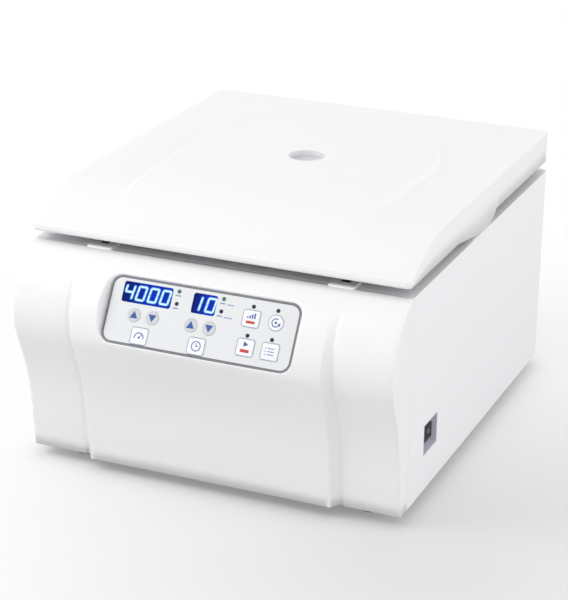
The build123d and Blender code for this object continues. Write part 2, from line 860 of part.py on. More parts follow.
# Four swing-out buckets, each hooked over its own pair of pins
bucket_bottom = pivot_z - bucket_below_pivot
bucket_top = pivot_z + bucket_above_pivot
lug_outer = bay_width / 2 - lug_side_gap
slot_radius = trunnion_radius + running_gap
for number in range(bucket_count):
    pivot = pivot_plane(number)
    middle_x = pivot.origin.X
    middle_y = pivot.origin.Y
    with BuildPart() as bucket:
        with BuildSketch(Plane.XY.offset(bucket_bottom)):
            with Locations((middle_x, middle_y)):
                Circle(bucket_radius)
        extrude(amount=bucket_top - bucket_bottom)
        fillet(bucket.faces().sort_by(Axis.Z)[0].edges(), bucket_bottom_round)
        for side in (-1, 1):
            with BuildSketch(pivot.offset(side * (bucket_radius - bucket_wall / 2))):
                RectangleRounded(2 * lug_half_width, 2 * lug_half_height, lug_corner)
            extrude(amount=side * (lug_outer - bucket_radius + bucket_wall / 2))
            with BuildSketch(pivot.offset(side * (bucket_radius + lug_root_gap))):
                Circle(slot_radius)
                with Locations((0, lug_half_height)):
                    Rectangle(2 * slot_radius, 2 * lug_half_height)
            extrude(amount=side * lug_outer, mode=Mode.SUBTRACT)
        with BuildSketch(Plane.XY.offset(bucket_bottom + bucket_wall)):
            with Locations((middle_x, middle_y)):
                Circle(bucket_radius - bucket_wall)
        extrude(amount=bucket_top - bucket_bottom, mode=Mode.SUBTRACT)
    save(bucket, f"bucket_{number + 1}")

# Lid: a hollow shell with a front slope and a raised middle
lid_turn = 1 - cos(radians(lid_slope))


def lid_outline(top, inset=0.0, bottom=lid_bottom):
    """Side view of the lid: lip, straight slope, round turn and flat top, set inwards for the hollow."""
    turn_start_z = top - lid_turn_radius * lid_turn
    slope_rise = turn_start_z - lid_bottom - lid_lip
    slope_run = slope_rise / tan(radians(lid_slope))
    drop = inset / cos(radians(lid_slope))
    front = lid_front_y + inset
    with BuildSketch(Plane.YZ.offset(-lid_half + inset)) as outline:
        with BuildLine():
            slope_start = (front, lid_bottom + lid_lip - drop + inset * tan(radians(lid_slope)))
            slope_end = (
                lid_front_y + slope_run + inset * sin(radians(lid_slope)),
                turn_start_z - inset * cos(radians(lid_slope)),
            )
            lip = Line((front, bottom), slope_start)
            slope = Line(lip @ 1, slope_end)
            turn = JernArc(slope @ 1, slope % 1, lid_turn_radius - inset, -lid_slope)
            Polyline(turn @ 1, (rear_y - inset, top - inset), (rear_y - inset, bottom), (front, bottom))
        make_face()
    return outline.sketch


def plateau_outline(shrink=0.0):
    """Plan of the raised middle: straight sides that close in towards the front, round at the back."""
    with BuildSketch(Plane.XY.offset(lid_bottom)) as plan:
        with BuildLine():
            rear_half = plateau_half_rear - shrink
            front_half = plateau_half_front - shrink
            left = Line((-front_half, plateau_front_y), (-rear_half, plateau_centre_y))
            arc = RadiusArc(left @ 1, (rear_half, plateau_centre_y), rear_half)
            Polyline(arc @ 1, (front_half, plateau_front_y), left @ 0)
        make_face()
    return plan.sketch


screw_places = [(side * lid_screw_x, y) for side in (-1, 1) for y in lid_screw_rows]
with BuildPart() as plateau:
    extrude(lid_outline(lid_plateau_top), lid_width)
    extrude(plateau_outline(), lid_plateau_top, mode=Mode.INTERSECT)
    plateau_sides = plateau.edges().filter_by_position(
        Axis.Z, lid_bottom + lid_lip, lid_plateau_top + cut_overrun
    )
    plateau_sides = plateau_sides.filter_by(Axis.Z, reverse=True).filter_by(Axis.X, reverse=True)
    fillet(plateau_sides, plateau_edge_round)

with BuildPart() as plateau_hollow:
    extrude(lid_outline(lid_plateau_top, lid_wall, lid_bottom - cut_overrun), lid_width - 2 * lid_wall)
    extrude(plateau_outline(plateau_edge_round + lid_wall), lid_plateau_top, mode=Mode.INTERSECT)

with BuildPart() as screw_posts:
    extrude(lid_outline(lid_rim_top - lid_wall / 2), lid_width)
    with BuildSketch(Plane.XY.offset(liner_top)):
        with Locations(*screw_places):
            Circle(screw_post_radius)
    extrude(amount=lid_rim_top, mode=Mode.INTERSECT)

with BuildPart() as lid_shell:
    extrude(lid_outline(lid_rim_top), lid_width)
    side_faces = lid_shell.faces().sort_by(Axis.X)
    side_edges = side_faces[0].edges() + side_faces[-1].edges()
    fillet(
        side_edges.filter_by_position(Axis.Z, lid_bottom + cut_overrun, lid_rim_top + cut_overrun),
        lid_edge_round,
    )
    add(plateau.part)
    rim_hollow = lid_outline(lid_rim_top, lid_wall, lid_bottom - cut_overrun)
    extrude(rim_hollow, lid_width - 2 * lid_wall, mode=Mode.SUBTRACT)
    add(plateau_hollow.part, mode=Mode.SUBTRACT)
    for side in (-1, 1):
        with BuildSketch(Plane.YZ.offset(side * lid_half)):
            with BuildLine():
                Polyline(
                    (tab_front_y, lid_bottom + lid_wall),
                    (tab_front_y, lid_bottom),
                    (tab_middle_y, lid_bottom - tab_depth),
                    (tab_flat_end_y, lid_bottom - tab_depth),
                    (tab_rear_y, lid_bottom - tab_rear_drop),
                    (tab_rear_y, lid_bottom + lid_wall),
                    close=True,
                )
            make_face()
        extrude(amount=-side * lid_wall)
    add(screw_posts.part)
    with BuildSketch(Plane.XY.offset(liner_top)):
        with Locations(*screw_places):
            Circle(lid_screw_radius)
    extrude(amount=lid_screw_depth, mode=Mode.SUBTRACT)
    with BuildSketch(Plane.XY.offset(liner_top)):
        with Locations(rotor_axis_point):
            Circle(port_radius)
    extrude(amount=lid_plateau_top, mode=Mode.SUBTRACT)
save(lid_shell, "lid_shell")

with BuildPart() as lid_liner:
    with BuildSketch(Plane.XY.offset(liner_z)):
        with Locations((0, (liner_front_y + liner_rear_y) / 2)):
            Rectangle(2 * (lid_half - lid_wall - fit_gap), liner_rear_y - liner_front_y)
        with Locations(rotor_axis_point):
            Circle(window_bore, mode=Mode.SUBTRACT)
        with Locations(*screw_places):
            Circle(lid_screw_radius, mode=Mode.SUBTRACT)
    extrude(amount=liner_thickness)
save(lid_liner, "lid_liner")

with BuildPart() as lid_screws:
    with BuildSketch(Plane.XY.offset(liner_z)):
        with Locations(*screw_places):
            Circle(2 * lid_screw_radius)
    extrude(amount=-lid_screw_radius)
    with BuildSketch(Plane.XY.offset(liner_z)):
        with Locations(*screw_places):
            Circle(lid_screw_radius)
    extrude(amount=liner_thickness + lid_screw_depth)
save(lid_screws, "lid_screws")

with BuildPart() as lid_gasket:
    with BuildSketch(rotor_side) as seal:
        with BuildLine():
            Polyline(
                (gasket_inner, liner_z),
                (gasket_outer, liner_z),
                (gasket_outer, collar_top + fit_gap),
                (gasket_inner, collar_top + fit_gap),
                close=True,
            )
        make_face()
        fillet(seal.vertices().group_by(Axis.Y)[0], gasket_round)
    revolve(axis=rotor_axis)
save(lid_gasket, "lid_gasket")

window_seat = lid_plateau_top - port_depth - window_thickness
with BuildPart() as window_ring:
    with BuildSketch(rotor_side):
        with BuildLine():
            Polyline(
                (window_bore, liner_top),
                (port_radius, liner_top),
                (port_radius, lid_plateau_top - port_edge_drop),
                (window_radius, lid_plateau_top - port_depth),
                (window_radius, window_seat),
                (window_bore, window_seat),
                close=True,
            )
        make_face()
    revolve(axis=rotor_axis)
save(window_ring, "window_ring")

with BuildPart() as view_window:
    with BuildSketch(Plane.XY.offset(window_seat)):
        with Locations(rotor_axis_point):
            Circle(window_radius)
    extrude(amount=window_thickness)
save(view_window, "view_window")

# Hinges at the back: ears on the deck, leaves under the lid, one pin in each
leaf_top = liner_z
with BuildPart() as hinge_brackets:
    for side in (-1, 1):
        middle = side * hinge_x
        with BuildSketch(Plane.YZ.offset(middle - ear_half)):
            with Locations((hinge_y, hinge_z)):
                Circle(knuckle_radius)
            with Locations(((bracket_front_y + bracket_rear_y) / 2, body_top + bracket_base / 2)):
                Rectangle(bracket_rear_y - bracket_front_y, bracket_base)
            make_hull()
        extrude(amount=2 * ear_half)
        with BuildSketch(Plane.YZ.offset(middle - knuckle_half - ear_gap)):
            with Locations((hinge_y, body_top + bracket_base + knuckle_radius + hinge_rise)):
                Rectangle(2 * (hinge_y - bracket_front_y), 2 * (knuckle_radius + hinge_rise))
        extrude(amount=2 * (knuckle_half + ear_gap), mode=Mode.SUBTRACT)
        with BuildSketch(Plane.YZ.offset(middle - ear_half)):
            with Locations((hinge_y, hinge_z)):
                Circle(hinge_pin_radius)
        extrude(amount=2 * ear_half, mode=Mode.SUBTRACT)
save(hinge_brackets, "hinge_brackets")

with BuildPart() as hinge_leaves:
    for side in (-1, 1):
        middle = side * hinge_x
        with BuildSketch(Plane.YZ.offset(middle - knuckle_half)):
            with Locations((hinge_y, hinge_z)):
                Circle(knuckle_radius)
            with Locations(((leaf_front_y + hinge_y) / 2, leaf_top - leaf_thickness / 2)):
                Rectangle(hinge_y - leaf_front_y, leaf_thickness)
            with Locations((hinge_y, hinge_z)):
                Circle(hinge_pin_radius + running_gap, mode=Mode.SUBTRACT)
        extrude(amount=2 * knuckle_half)
        with BuildSketch(Plane.XY.offset(leaf_top)):
            with Locations((middle, (leaf_front_y + leaf_wide_rear_y) / 2)):
                Rectangle(2 * leaf_half, leaf_wide_rear_y - leaf_front_y)
        extrude(amount=-leaf_thickness)
save(hinge_leaves, "hinge_leaves")

with BuildPart() as hinge_pins:
    for side in (-1, 1):
        with BuildSketch(Plane.YZ.offset(side * hinge_x - ear_half)):
            with Locations((hinge_y, hinge_z)):
                Circle(hinge_pin_radius)
        extrude(amount=2 * ear_half)
save(hinge_pins, "hinge_pins")

# Latches: a hook under the lid on each side, and a block with a sliding bolt under the deck
block_bottom = deck_under - block_height
bolt_tip_y = latch_y + hook_thickness / 2 + bolt_setback
for side_name, side in (("left", -1), ("right", 1)):
    middle = side * latch_x
    with BuildPart() as lid_hook:
        with BuildSketch(Plane.XZ.offset(-latch_y - hook_thickness / 2)):
            with Locations((middle, (hook_bottom + liner_z) / 2)):
                Rectangle(hook_width, liner_z - hook_bottom)
            with Locations((middle, bolt_z)):
                Rectangle(hook_window_width, hook_window_height, mode=Mode.SUBTRACT)
        extrude(amount=hook_thickness)
        with BuildSketch(Plane.XY.offset(liner_z)):
            with Locations((middle, latch_y + hook_foot_length / 2)):
                Rectangle(hook_foot_width, hook_foot_length)
        extrude(amount=-hook_foot_thickness)
    save(lid_hook, f"lid_hook_{side_name}")

    with BuildPart() as latch_block:
        with BuildSketch(Plane.XY.offset(block_bottom)):
            with Locations((middle, (block_front_y + block_rear_y) / 2)):
                Rectangle(block_width, block_rear_y - block_front_y)
            with Locations((middle, (slot_front_y + slot_rear_y) / 2)):
                Rectangle(slot_width, slot_rear_y - slot_front_y, mode=Mode.SUBTRACT)
        extrude(amount=block_height)
        with BuildSketch(Plane.XZ.offset(-block_rear_y)):
            with Locations((middle, bolt_z)):
                Rectangle(bolt_width + 2 * fit_gap, bolt_height + 2 * fit_gap)
        extrude(amount=block_rear_y - slot_front_y, mode=Mode.SUBTRACT)
    save(latch_block, f"latch_block_{side_name}")

    with BuildPart() as latch_bolt:
        with BuildSketch(Plane.XZ.offset(-bolt_tip_y)):
            with Locations((middle, bolt_z)):
                Rectangle(bolt_width, bolt_height)
        extrude(amount=-bolt_length)
    save(latch_bolt, f"latch_bolt_{side_name}")

# Power switch in its sloped well on the right side
well_floor_x = half_width - switch_well_depth
with BuildPart() as switch_well:
    with BuildSketch(Plane.YZ.offset(half_width - cabinet_sheet)):
        with Locations((switch_y, switch_z)):
            Rectangle(switch_length + 2 * cover_wall, switch_height + 2 * cover_wall)
    extrude(amount=-(switch_well_depth - cabinet_sheet + cover_wall))
    with BuildSketch(Plane.YZ.offset(half_width - cabinet_sheet)):
        with Locations((switch_y, switch_z)):
            Rectangle(switch_length, switch_height)
    extrude(amount=cabinet_sheet)
    with BuildSketch(Plane.YZ.offset(half_width)):
        with Locations((switch_y, switch_z)):
            Rectangle(switch_length - 2 * well_rim, switch_height - 2 * well_rim)
    extrude(amount=-switch_well_depth, taper=switch_well_slope, mode=Mode.SUBTRACT)
    with BuildSketch(Plane.YZ.offset(half_width)):
        with Locations((switch_y, switch_z)):
            Rectangle(switch_body_length, switch_body_height)
    extrude(amount=-half_width, mode=Mode.SUBTRACT)
save(switch_well, "switch_well")

bezel_front_x = well_floor_x + bezel_proud
rocker_pivot_x = bezel_front_x - rocker_pivot_drop
rocker_room_length = 2 * (rocker_radius + fit_gap)
rocker_room_height = rocker_height + 2 * fit_gap
with BuildPart() as switch_bezel:
    with BuildSketch(Plane.YZ.offset(well_floor_x)):
        with Locations((switch_y, switch_z)):
            RectangleRounded(bezel_length, bezel_height, bezel_corner)
    extrude(amount=bezel_proud)
    with BuildSketch(Plane.YZ.offset(well_floor_x)):
        with Locations((switch_y, switch_z)):
            Rectangle(switch_body_length, switch_body_height)
    extrude(amount=-switch_body_depth)
    with BuildSketch(Plane.YZ.offset(bezel_front_x)):
        with Locations((switch_y, switch_z)):
            Rectangle(rocker_room_length, rocker_room_height)
    extrude(amount=-(bezel_proud + switch_body_depth - bezel_back_wall), mode=Mode.SUBTRACT)
    with BuildSketch(Plane.XY.offset(switch_z - rocker_height / 2 - rocker_pin_reach - running_gap)):
        with Locations((rocker_pivot_x, switch_y)):
            Circle(rocker_pin_radius + running_gap)
    extrude(amount=rocker_height + 2 * (rocker_pin_reach + running_gap), mode=Mode.SUBTRACT)
save(switch_bezel, "switch_bezel")

with BuildPart() as power_rocker:
    with BuildSketch(
        Plane(
            origin=(rocker_pivot_x, switch_y, switch_z - rocker_height / 2),
            x_dir=(cos(radians(rocker_tilt)), sin(radians(rocker_tilt)), 0),
            z_dir=(0, 0, 1),
        )
    ):
        Circle(rocker_radius)
        with BuildLine():
            Polyline(
                (-rocker_depth, -rocker_radius),
                (rocker_pivot_drop + rocker_rise, -rocker_radius),
                (rocker_pivot_drop, 0),
                (rocker_pivot_drop + rocker_rise, rocker_radius),
                (-rocker_depth, rocker_radius),
                close=True,
            )
        make_face(mode=Mode.INTERSECT)
    extrude(amount=rocker_height)
    with BuildSketch(Plane.XY.offset(switch_z - rocker_height / 2 - rocker_pin_reach)):
        with Locations((rocker_pivot_x, switch_y)):
            Circle(rocker_pin_radius)
    extrude(amount=rocker_height + 2 * rocker_pin_reach)
save(power_rocker, "power_rocker")

# Mains inlet with its fuse drawer, in the back wall
unit_top = inlet_z + inlet_height / 2
unit_bottom = inlet_z - drawer_drop - drawer_height / 2
unit_middle = (unit_top + unit_bottom) / 2
unit_height = unit_top - unit_bottom
with BuildPart() as power_inlet:
    with BuildSketch(Plane.XZ.offset(-rear_y)):
        with Locations((inlet_x, inlet_z)):
            Rectangle(inlet_width, inlet_height)
        with Locations((inlet_x, inlet_z - drawer_drop)):
            Rectangle(inlet_width, drawer_height)
    extrude(amount=cabinet_sheet)
    with BuildSketch(Plane.XZ.offset(-pan_rear_y)):
        with Locations((inlet_x, unit_middle)):
            Rectangle(inlet_width + 2 * inlet_flange, unit_height + 2 * inlet_flange)
    extrude(amount=inlet_flange_thickness)
    with BuildSketch(Plane.XZ.offset(-pan_rear_y + inlet_flange_thickness)):
        with Locations((inlet_x, unit_middle)):
            Rectangle(inlet_width, unit_height)
    extrude(amount=inlet_depth)
    with BuildSketch(Plane.XZ.offset(-rear_y)) as socket:
        with Locations((inlet_x, inlet_z)):
            Rectangle(socket_width, socket_height)
        chamfer(socket.vertices().group_by(Axis.Y)[-1], socket_chamfer)
        with Locations(*[(inlet_x + across, inlet_z + up) for across, up in blade_places]):
            Rectangle(blade_thickness, blade_height, mode=Mode.SUBTRACT)
    extrude(amount=socket_depth, mode=Mode.SUBTRACT)
    with BuildSketch(Plane.XZ.offset(-rear_y)):
        with Locations((inlet_x, inlet_z - drawer_drop)):
            Rectangle(drawer_width + 2 * fit_gap, drawer_height - 2 * drawer_wall)
    extrude(amount=drawer_depth + fit_gap, mode=Mode.SUBTRACT)
save(power_inlet, "power_inlet")

with BuildPart() as fuse_drawer:
    with BuildSketch(Plane.XZ.offset(-rear_y)):
        with Locations((inlet_x, inlet_z - drawer_drop)):
            Rectangle(drawer_width, drawer_height - 2 * drawer_wall - 2 * fit_gap)
    extrude(amount=drawer_depth)
save(fuse_drawer, "fuse_drawer")

# Drive electronics on the pan, in front of the guard ring
with BuildPart() as drive_board:
    with BuildSketch(Plane.XY.offset(pan_top)):
        with Locations((drive_x, drive_y)):
            with GridLocations(drive_length - drive_post, drive_width - drive_post, 2, 2):
                Circle(drive_post / 2)
    extrude(amount=drive_height)
    with BuildSketch(Plane.XY.offset(pan_top + drive_height)):
        with Locations((drive_x, drive_y)):
            Rectangle(drive_length, drive_width)
    extrude(amount=board_thickness)
    with BuildSketch(Plane.XY.offset(pan_top + drive_height + board_thickness)):
        with Locations((drive_x - drive_block_x, drive_y)):
            Circle(capacitor_radius)
        with Locations((drive_x + drive_block_x, drive_y)):
            Rectangle(heat_sink_length, heat_sink_width)
    extrude(amount=capacitor_height)
save(drive_board, "drive_board")

# Rubber feet with their screws, and the screws that hold the cabinet to the pan
for name, place in foot_places.items():
    with BuildPart() as foot:
        with BuildSketch():
            with Locations(place):
                Circle(foot_radius)
        extrude(amount=foot_height)
        chamfer(foot.faces().sort_by(Axis.Z)[0].edges(), foot_chamfer)
        with BuildSketch():
            with Locations(place):
                Circle(foot_screw_radius)
        extrude(amount=foot_height, mode=Mode.SUBTRACT)
        with BuildSketch():
            with Locations(place):
                Circle(screw_head_radius + fit_gap)
        extrude(amount=foot_recess, mode=Mode.SUBTRACT)
    save(foot, name)

with BuildPart() as foot_screws:
    with BuildSketch(Plane.XY.offset(foot_recess)):
        with Locations(*foot_places.values()):
            Circle(screw_head_radius)
    extrude(amount=-foot_screw_head)
    with BuildSketch(Plane.XY.offset(foot_recess)):
        with Locations(*foot_places.values()):
            Circle(foot_screw_radius)
    extrude(amount=pan_top + foot_screw_end - foot_recess)
save(foot_screws, "foot_screws")

with BuildPart() as cabinet_screws:
    with BuildSketch(Plane.XZ.offset(-rear_y)):
        with Locations((0, cabinet_screw_z)):
            with GridLocations(cabinet_screw_pitch, 0, cabinet_screw_count, 1):
                Circle(screw_head_radius)
    extrude(amount=cabinet_sheet)
    with BuildSketch(Plane.XZ.offset(-pan_rear_y)):
        with Locations((0, cabinet_screw_z)):
            with GridLocations(cabinet_screw_pitch, 0, cabinet_screw_count, 1):
                Circle(cabinet_screw_radius)
    extrude(amount=cabinet_screw_length)
save(cabinet_screws, "cabinet_screws")
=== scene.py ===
from math import atan2, cos, hypot, pi, radians, sin, sqrt, tan

import bmesh
import bpy
from mathutils import Matrix, Vector


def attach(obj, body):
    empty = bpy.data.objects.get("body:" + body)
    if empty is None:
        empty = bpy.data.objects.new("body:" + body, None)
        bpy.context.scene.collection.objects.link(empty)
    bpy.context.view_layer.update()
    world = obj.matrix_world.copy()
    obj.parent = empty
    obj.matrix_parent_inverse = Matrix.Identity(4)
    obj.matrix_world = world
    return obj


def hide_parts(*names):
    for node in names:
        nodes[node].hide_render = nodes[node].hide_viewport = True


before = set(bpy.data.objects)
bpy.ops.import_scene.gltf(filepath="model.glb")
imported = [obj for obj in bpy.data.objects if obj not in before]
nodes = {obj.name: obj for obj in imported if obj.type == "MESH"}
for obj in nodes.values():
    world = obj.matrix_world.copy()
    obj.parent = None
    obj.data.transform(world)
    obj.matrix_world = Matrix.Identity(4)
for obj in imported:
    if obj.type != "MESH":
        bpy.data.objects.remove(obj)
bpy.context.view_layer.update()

# Sizes are in millimetres and become metres where a mesh is finished
mm = 0.001

# Whole machine
half_width = 200.0
rear_y = 247.0
body_top = 231.5
foot_height = 12.0
rotor_y = 33.0

# Front moulding, seen from the side
seam_y = -185.0
brow_y = -188.4
brow_radius = 16.0
brow_turn = radians(38.4)
panel_half = 130.0
panel_side_width = 8.0
panel_side_soft = 0.2
groove_width = 1.0
groove_rise_width = 3.0
wing_edge_round = 2.0
seam_chamfer = 0.6
moulding_wall = 3.0
knee = {"knee_z": 122.0, "foot_lean": 6.0}
panel_shape = {"front": -rear_y, "bulge": 50.5, "nose": 27.0, "lean": 24.0, "fall": 180.0} | knee
panel_edge_shape = {"front": -242.6, "bulge": 68.3, "nose": 33.5, "lean": 21.0, "fall": 245.0} | knee
wing_shape = {"front": -235.5, "bulge": 69.3, "nose": 60.0, "lean": 23.0, "fall": 200.0} | knee
groove_shape = wing_shape | {"front": -233.8, "nose": 66.0}
flat_steps = 1
brow_steps = 4
shoulder_steps = 4
bulge_steps = 10
nose_steps = 3
slope_steps = 4
fall_steps = 10
foot_steps = 4
panel_column = 124.0
side_columns = (0.05, 0.1, 0.15, 0.2, 0.35, 0.5, 0.65, 0.8, 0.85, 0.9, 0.95, 1.0)
wing_columns = (155.0, 170.0, 185.0, 195.0)
edge_round_start = 0.05
edge_round_marks = 4
edge_rows = (0.35, 0.7, 1.0)

# Panel well
panel_tilt = radians(31.0)
panel_foot_y = -243.5
panel_foot_z = 159.6
overlay_width = 198.0
overlay_height = 66.0
overlay_corner = 10.5
overlay_thickness = 1.5
well_gap = 0.3
well_flare = radians(20.0)
well_rim_round = 1.8
well_top_steps = 14
well_corner_steps = 8
well_side_steps = 10
well_rim_reach = 40.0
# The square frame of the face round the well: half its width, and its first and last rows of the face
well_frame_half = 116.0
well_frame_first = 5
well_frame_last = 23

# Lid
lid_half = 198.5
lid_bottom = 242.0
lid_front_y = -192.6
lid_lip = 6.6
lid_slope = radians(23.8)
lid_turn = 159.0
lid_rim_top = 276.5
lid_plateau_top = 282.0
lid_corner = 4.0
lid_edge_round = 2.5
plateau_half_rear = 138.0
plateau_half_front = 129.0
plateau_centre_y = 45.0
plateau_front_y = -170.0
plateau_step = 9.0
port_radius = 19.0
port_edge = 1.0
# How far the tab on each side edge hangs down: place along the side, drop
tab_points = [(-56.0, 0.0), (2.0, 9.5), (45.0, 9.5), (57.0, 7.2), (64.0, 2.4), (64.6, 0.0)]
# Columns across the front, and rows along the side, which are closest along the tab
lid_columns = 17
lid_corner_steps = 4
lid_front_rows = range(-176, -67, 12)
lid_tab_rows = [-61, -56, -48, -36, -24, -11, 2, 12, 23, 34, 45, 51, 57, 61, 64, 64.6]
lid_rear_rows = [72, 84, 97, 110, 124, 138, 152, 166, 180, 195, 210, 225]

# Latch pads
pad_x = 128.0
pad_y = -177.5
pad_top = 233.5
pad_width = 28.0
pad_depth = 23.0
pad_height = 5.0
pad_corner = 4.0
pad_edge_round = 2.0

# Displays: node, middle across, middle up the panel, width, height, digits
displays = [
    ("display_speed", -60.3, 51.4, 52.0, 20.0, "4000"),
    ("display_time", 0.25, 51.4, 24.7, 19.5, "10"),
]
# Keys: node, across, up the panel, width, height; a height of 0 makes a round key
keys = [
    ("key_speed_up", -69.2, 29.7, 13.4, 0.0),
    ("key_speed_down", -49.8, 29.7, 13.4, 0.0),
    ("key_time_up", -8.8, 29.4, 13.4, 0.0),
    ("key_time_down", 10.4, 29.4, 13.4, 0.0),
    ("key_speed_mode", -59.1, 10.4, 18.0, 17.0),
    ("key_time_mode", 1.4, 10.4, 18.0, 17.0),
    ("key_soft_stop", 50.6, 45.4, 18.0, 17.0),
    ("key_quick_spin", 76.1, 45.4, 15.8, 0.0),
    ("key_start_stop", 50.9, 17.5, 18.0, 17.0),
    ("key_program", 76.3, 17.5, 18.0, 17.0),
]

panel_up = Vector((0, sin(panel_tilt), cos(panel_tilt)))
panel_out = Vector((0, -cos(panel_tilt), sin(panel_tilt)))
panel_origin = Vector((0, panel_foot_y, panel_foot_z))


def on_panel(across, up, out=0.0):
    """A place on the key panel: across from its middle, up from its lower edge, out from its face."""
    return panel_origin + Vector((across, 0, 0)) + panel_up * up + panel_out * out


def axes_at(origin, across, up, out):
    """The transform that puts X, Y and Z along three directions at a place."""
    return Matrix.Translation(origin) @ Matrix((across, up, out)).transposed().to_4x4()


# Materials


def colour(text):
    """Linear colour from an sRGB hex value."""
    channels = []
    for start in (1, 3, 5):
        value = int(text[start : start + 2], 16) / 255
        channels.append(value / 12.92 if value <= 0.04045 else ((value + 0.055) / 1.055) ** 2.4)
    return (*channels, 1.0)


def add_node(tree, kind, inputs=None, **settings):
    """Adds a node with its settings; an input is a plain value or another node's output."""
    node = tree.nodes.new(kind)
    for name, value in settings.items():
        setattr(node, name, value)
    for name, value in (inputs or {}).items():
        if isinstance(value, bpy.types.NodeSocket):
            tree.links.new(value, node.inputs[name])
        else:
            node.inputs[name].default_value = value
    return node


def maths(tree, operation, first, second):
    """The output of one sum on two values."""
    return add_node(tree, "ShaderNodeMath", {0: first, 1: second}, operation=operation).outputs["Value"]


def ranged(tree, value, low=0.0, high=1.0, new_low=0.0, new_high=1.0):
    """The output that moves a value from one range to another."""
    limits = {"From Min": low, "From Max": high, "To Min": new_low, "To Max": new_high}
    return add_node(tree, "ShaderNodeMapRange", {"Value": value} | limits).outputs["Result"]


def mixed(tree, factor, first, second):
    """The output that goes from one shader to another by a factor."""
    return add_node(tree, "ShaderNodeMixShader", {0: factor, 1: first, 2: second}).outputs["Shader"]


def two_tone(tree, shader, factor, dark, light):
    """Colours a surface between two tones by a factor."""
    tones = {"Factor": factor, "A": colour(dark), "B": colour(light)}
    tone = add_node(tree, "ShaderNodeMix", tones, data_type="RGBA")
    tree.links.new(tone.outputs["Result"], shader.inputs["Base Color"])


def principled(name, **sockets):
    """A new material with plain values on its shader's sockets, with its tree and its shader."""
    material = bpy.data.materials.new(name)
    material.use_nodes = True
    shader = material.node_tree.nodes["Principled BSDF"]
    for socket, value in sockets.items():
        shader.inputs[socket.replace("_", " ")].default_value = value
    return material, material.node_tree, shader


def position(tree):
    """The X, Y and Z outputs of a place on the object."""
    place = add_node(tree, "ShaderNodeTexCoord")
    return add_node(tree, "ShaderNodeSeparateXYZ", {"Vector": place.outputs["Object"]}).outputs


roughness_spread = 0.04
bump_strength = 0.6


def finish(name, light, dark, roughness, grain, depth, metallic=0.0, stretch=(1, 1, 1), **sockets):
    """A surface whose colour wanders between two tones, with grain of a real size in millimetres."""
    material, tree, shader = principled(name, Metallic=metallic, **sockets)
    place = add_node(tree, "ShaderNodeTexCoord")
    turned = add_node(tree, "ShaderNodeMapping", {"Vector": place.outputs["Object"], "Scale": stretch})
    noise = add_node(
        tree,
        "ShaderNodeTexNoise",
        {"Vector": turned.outputs["Vector"], "Scale": 1 / (grain * mm), "Detail": 3.0},
    )
    wander = noise.outputs["Fac"]
    two_tone(tree, shader, wander, dark, light)
    rough = ranged(tree, wander, 0.0, 1.0, roughness - roughness_spread, roughness + roughness_spread)
    bump = add_node(
        tree, "ShaderNodeBump", {"Height": wander, "Distance": depth * mm, "Strength": bump_strength}
    )
    tree.links.new(rough, shader.inputs["Roughness"])
    tree.links.new(bump.outputs["Normal"], shader.inputs["Normal"])
    return material


# Injection-moulded ABS, satin: a bright even white with a soft sheen. Its real spark texture of
# 0.2 mm is too fine to show here, so it is drawn 2.5 mm wide and very shallow.
moulded_abs = finish("moulded_white_abs", "#fafafb", "#f7f7f8", 0.34, 2.5, 0.012, IOR=1.53)
# Powder-coated sheet steel: the same white, a little duller, with a slight orange peel
powder_coat = finish("white_powder_coat", "#f8f8fa", "#f5f5f7", 0.45, 1.8, 0.02, IOR=1.5)
# Zinc-plated steel: cool grey with a faint spangle
zinc_plate = finish("zinc_plated_steel", "#b4b8bd", "#9a9fa6", 0.38, 6.0, 0.01, metallic=1.0)
# Brushed stainless steel: bright, with fine lines along the brushing, drawn 1 mm apart
stainless = finish("brushed_stainless_steel", "#cfd1d4", "#b9bcc0", 0.28, 1.0, 0.006, 1.0, (1, 0.04, 1))
# Spun stainless steel: fine rings left by the tool, so the lines lie level round the bowl
spun_steel = finish("spun_stainless_steel", "#cdd0d3", "#b6babf", 0.26, 1.2, 0.006, 1.0, (0.05, 0.05, 1))
# Clear-anodised aluminium: pale and dull, with no lines
anodised = finish("anodised_aluminium", "#c6c9ce", "#b7bac0", 0.42, 1.5, 0.008, metallic=1.0)
# Cast aluminium: grey and rough from the mould
cast_metal = finish("cast_aluminium", "#8f9297", "#777b80", 0.6, 2.0, 0.15, metallic=1.0)
# Nitrile rubber: near black, dull, faintly dusty
rubber = finish("black_nitrile_rubber", "#232325", "#161618", 0.82, 3.0, 0.04, IOR=1.52)
# Glass-filled nylon: black, semi-matt, as the rocker and the mains inlet are
black_nylon = finish("black_moulded_nylon", "#1c1d20", "#141518", 0.42, 1.0, 0.02, IOR=1.53)
# Acetal ring round the view port: pale grey and slightly waxy
grey_acetal = finish("pale_grey_acetal", "#e0e1e4", "#dbdce0", 0.4, 1.5, 0.01, IOR=1.48)
# Polycarbonate of the switch well: lilac-grey, darker than the sheet steel round it, which is painted shade
# of the recess
well_shade_polycarbonate = finish("painted_well_shade_polycarbonate", "#bdbdca", "#b6b6c4", 0.4, 1.5, 0.01, IOR=1.58)
# Screen-printed polyester film: off-white, even and nearly matt
printed_film = finish("printed_polyester_film", "#ebecee", "#e8eaec", 0.5, 1.4, 0.004, IOR=1.57)
# The same film over the keys, domed and a touch whiter, and the grey of the arrow pads
key_film = finish("white_key_film", "#fafbfd", "#f7f8fb", 0.42, 1.4, 0.004, IOR=1.57)
grey_key_film = finish("grey_key_film", "#d6d9de", "#d0d3d9", 0.45, 1.4, 0.004, IOR=1.57)
# Glass-epoxy board under green solder mask
board_mask = finish("green_solder_mask", "#1d5c38", "#17492d", 0.4, 4.0, 0.02, IOR=1.55)


def screen_ink(name, light, dark):
    """Screen-printed ink: even and nearly matt, with no grain that shows."""
    return finish(name, light, dark, 0.5, 1.0, 0.002, IOR=1.5)
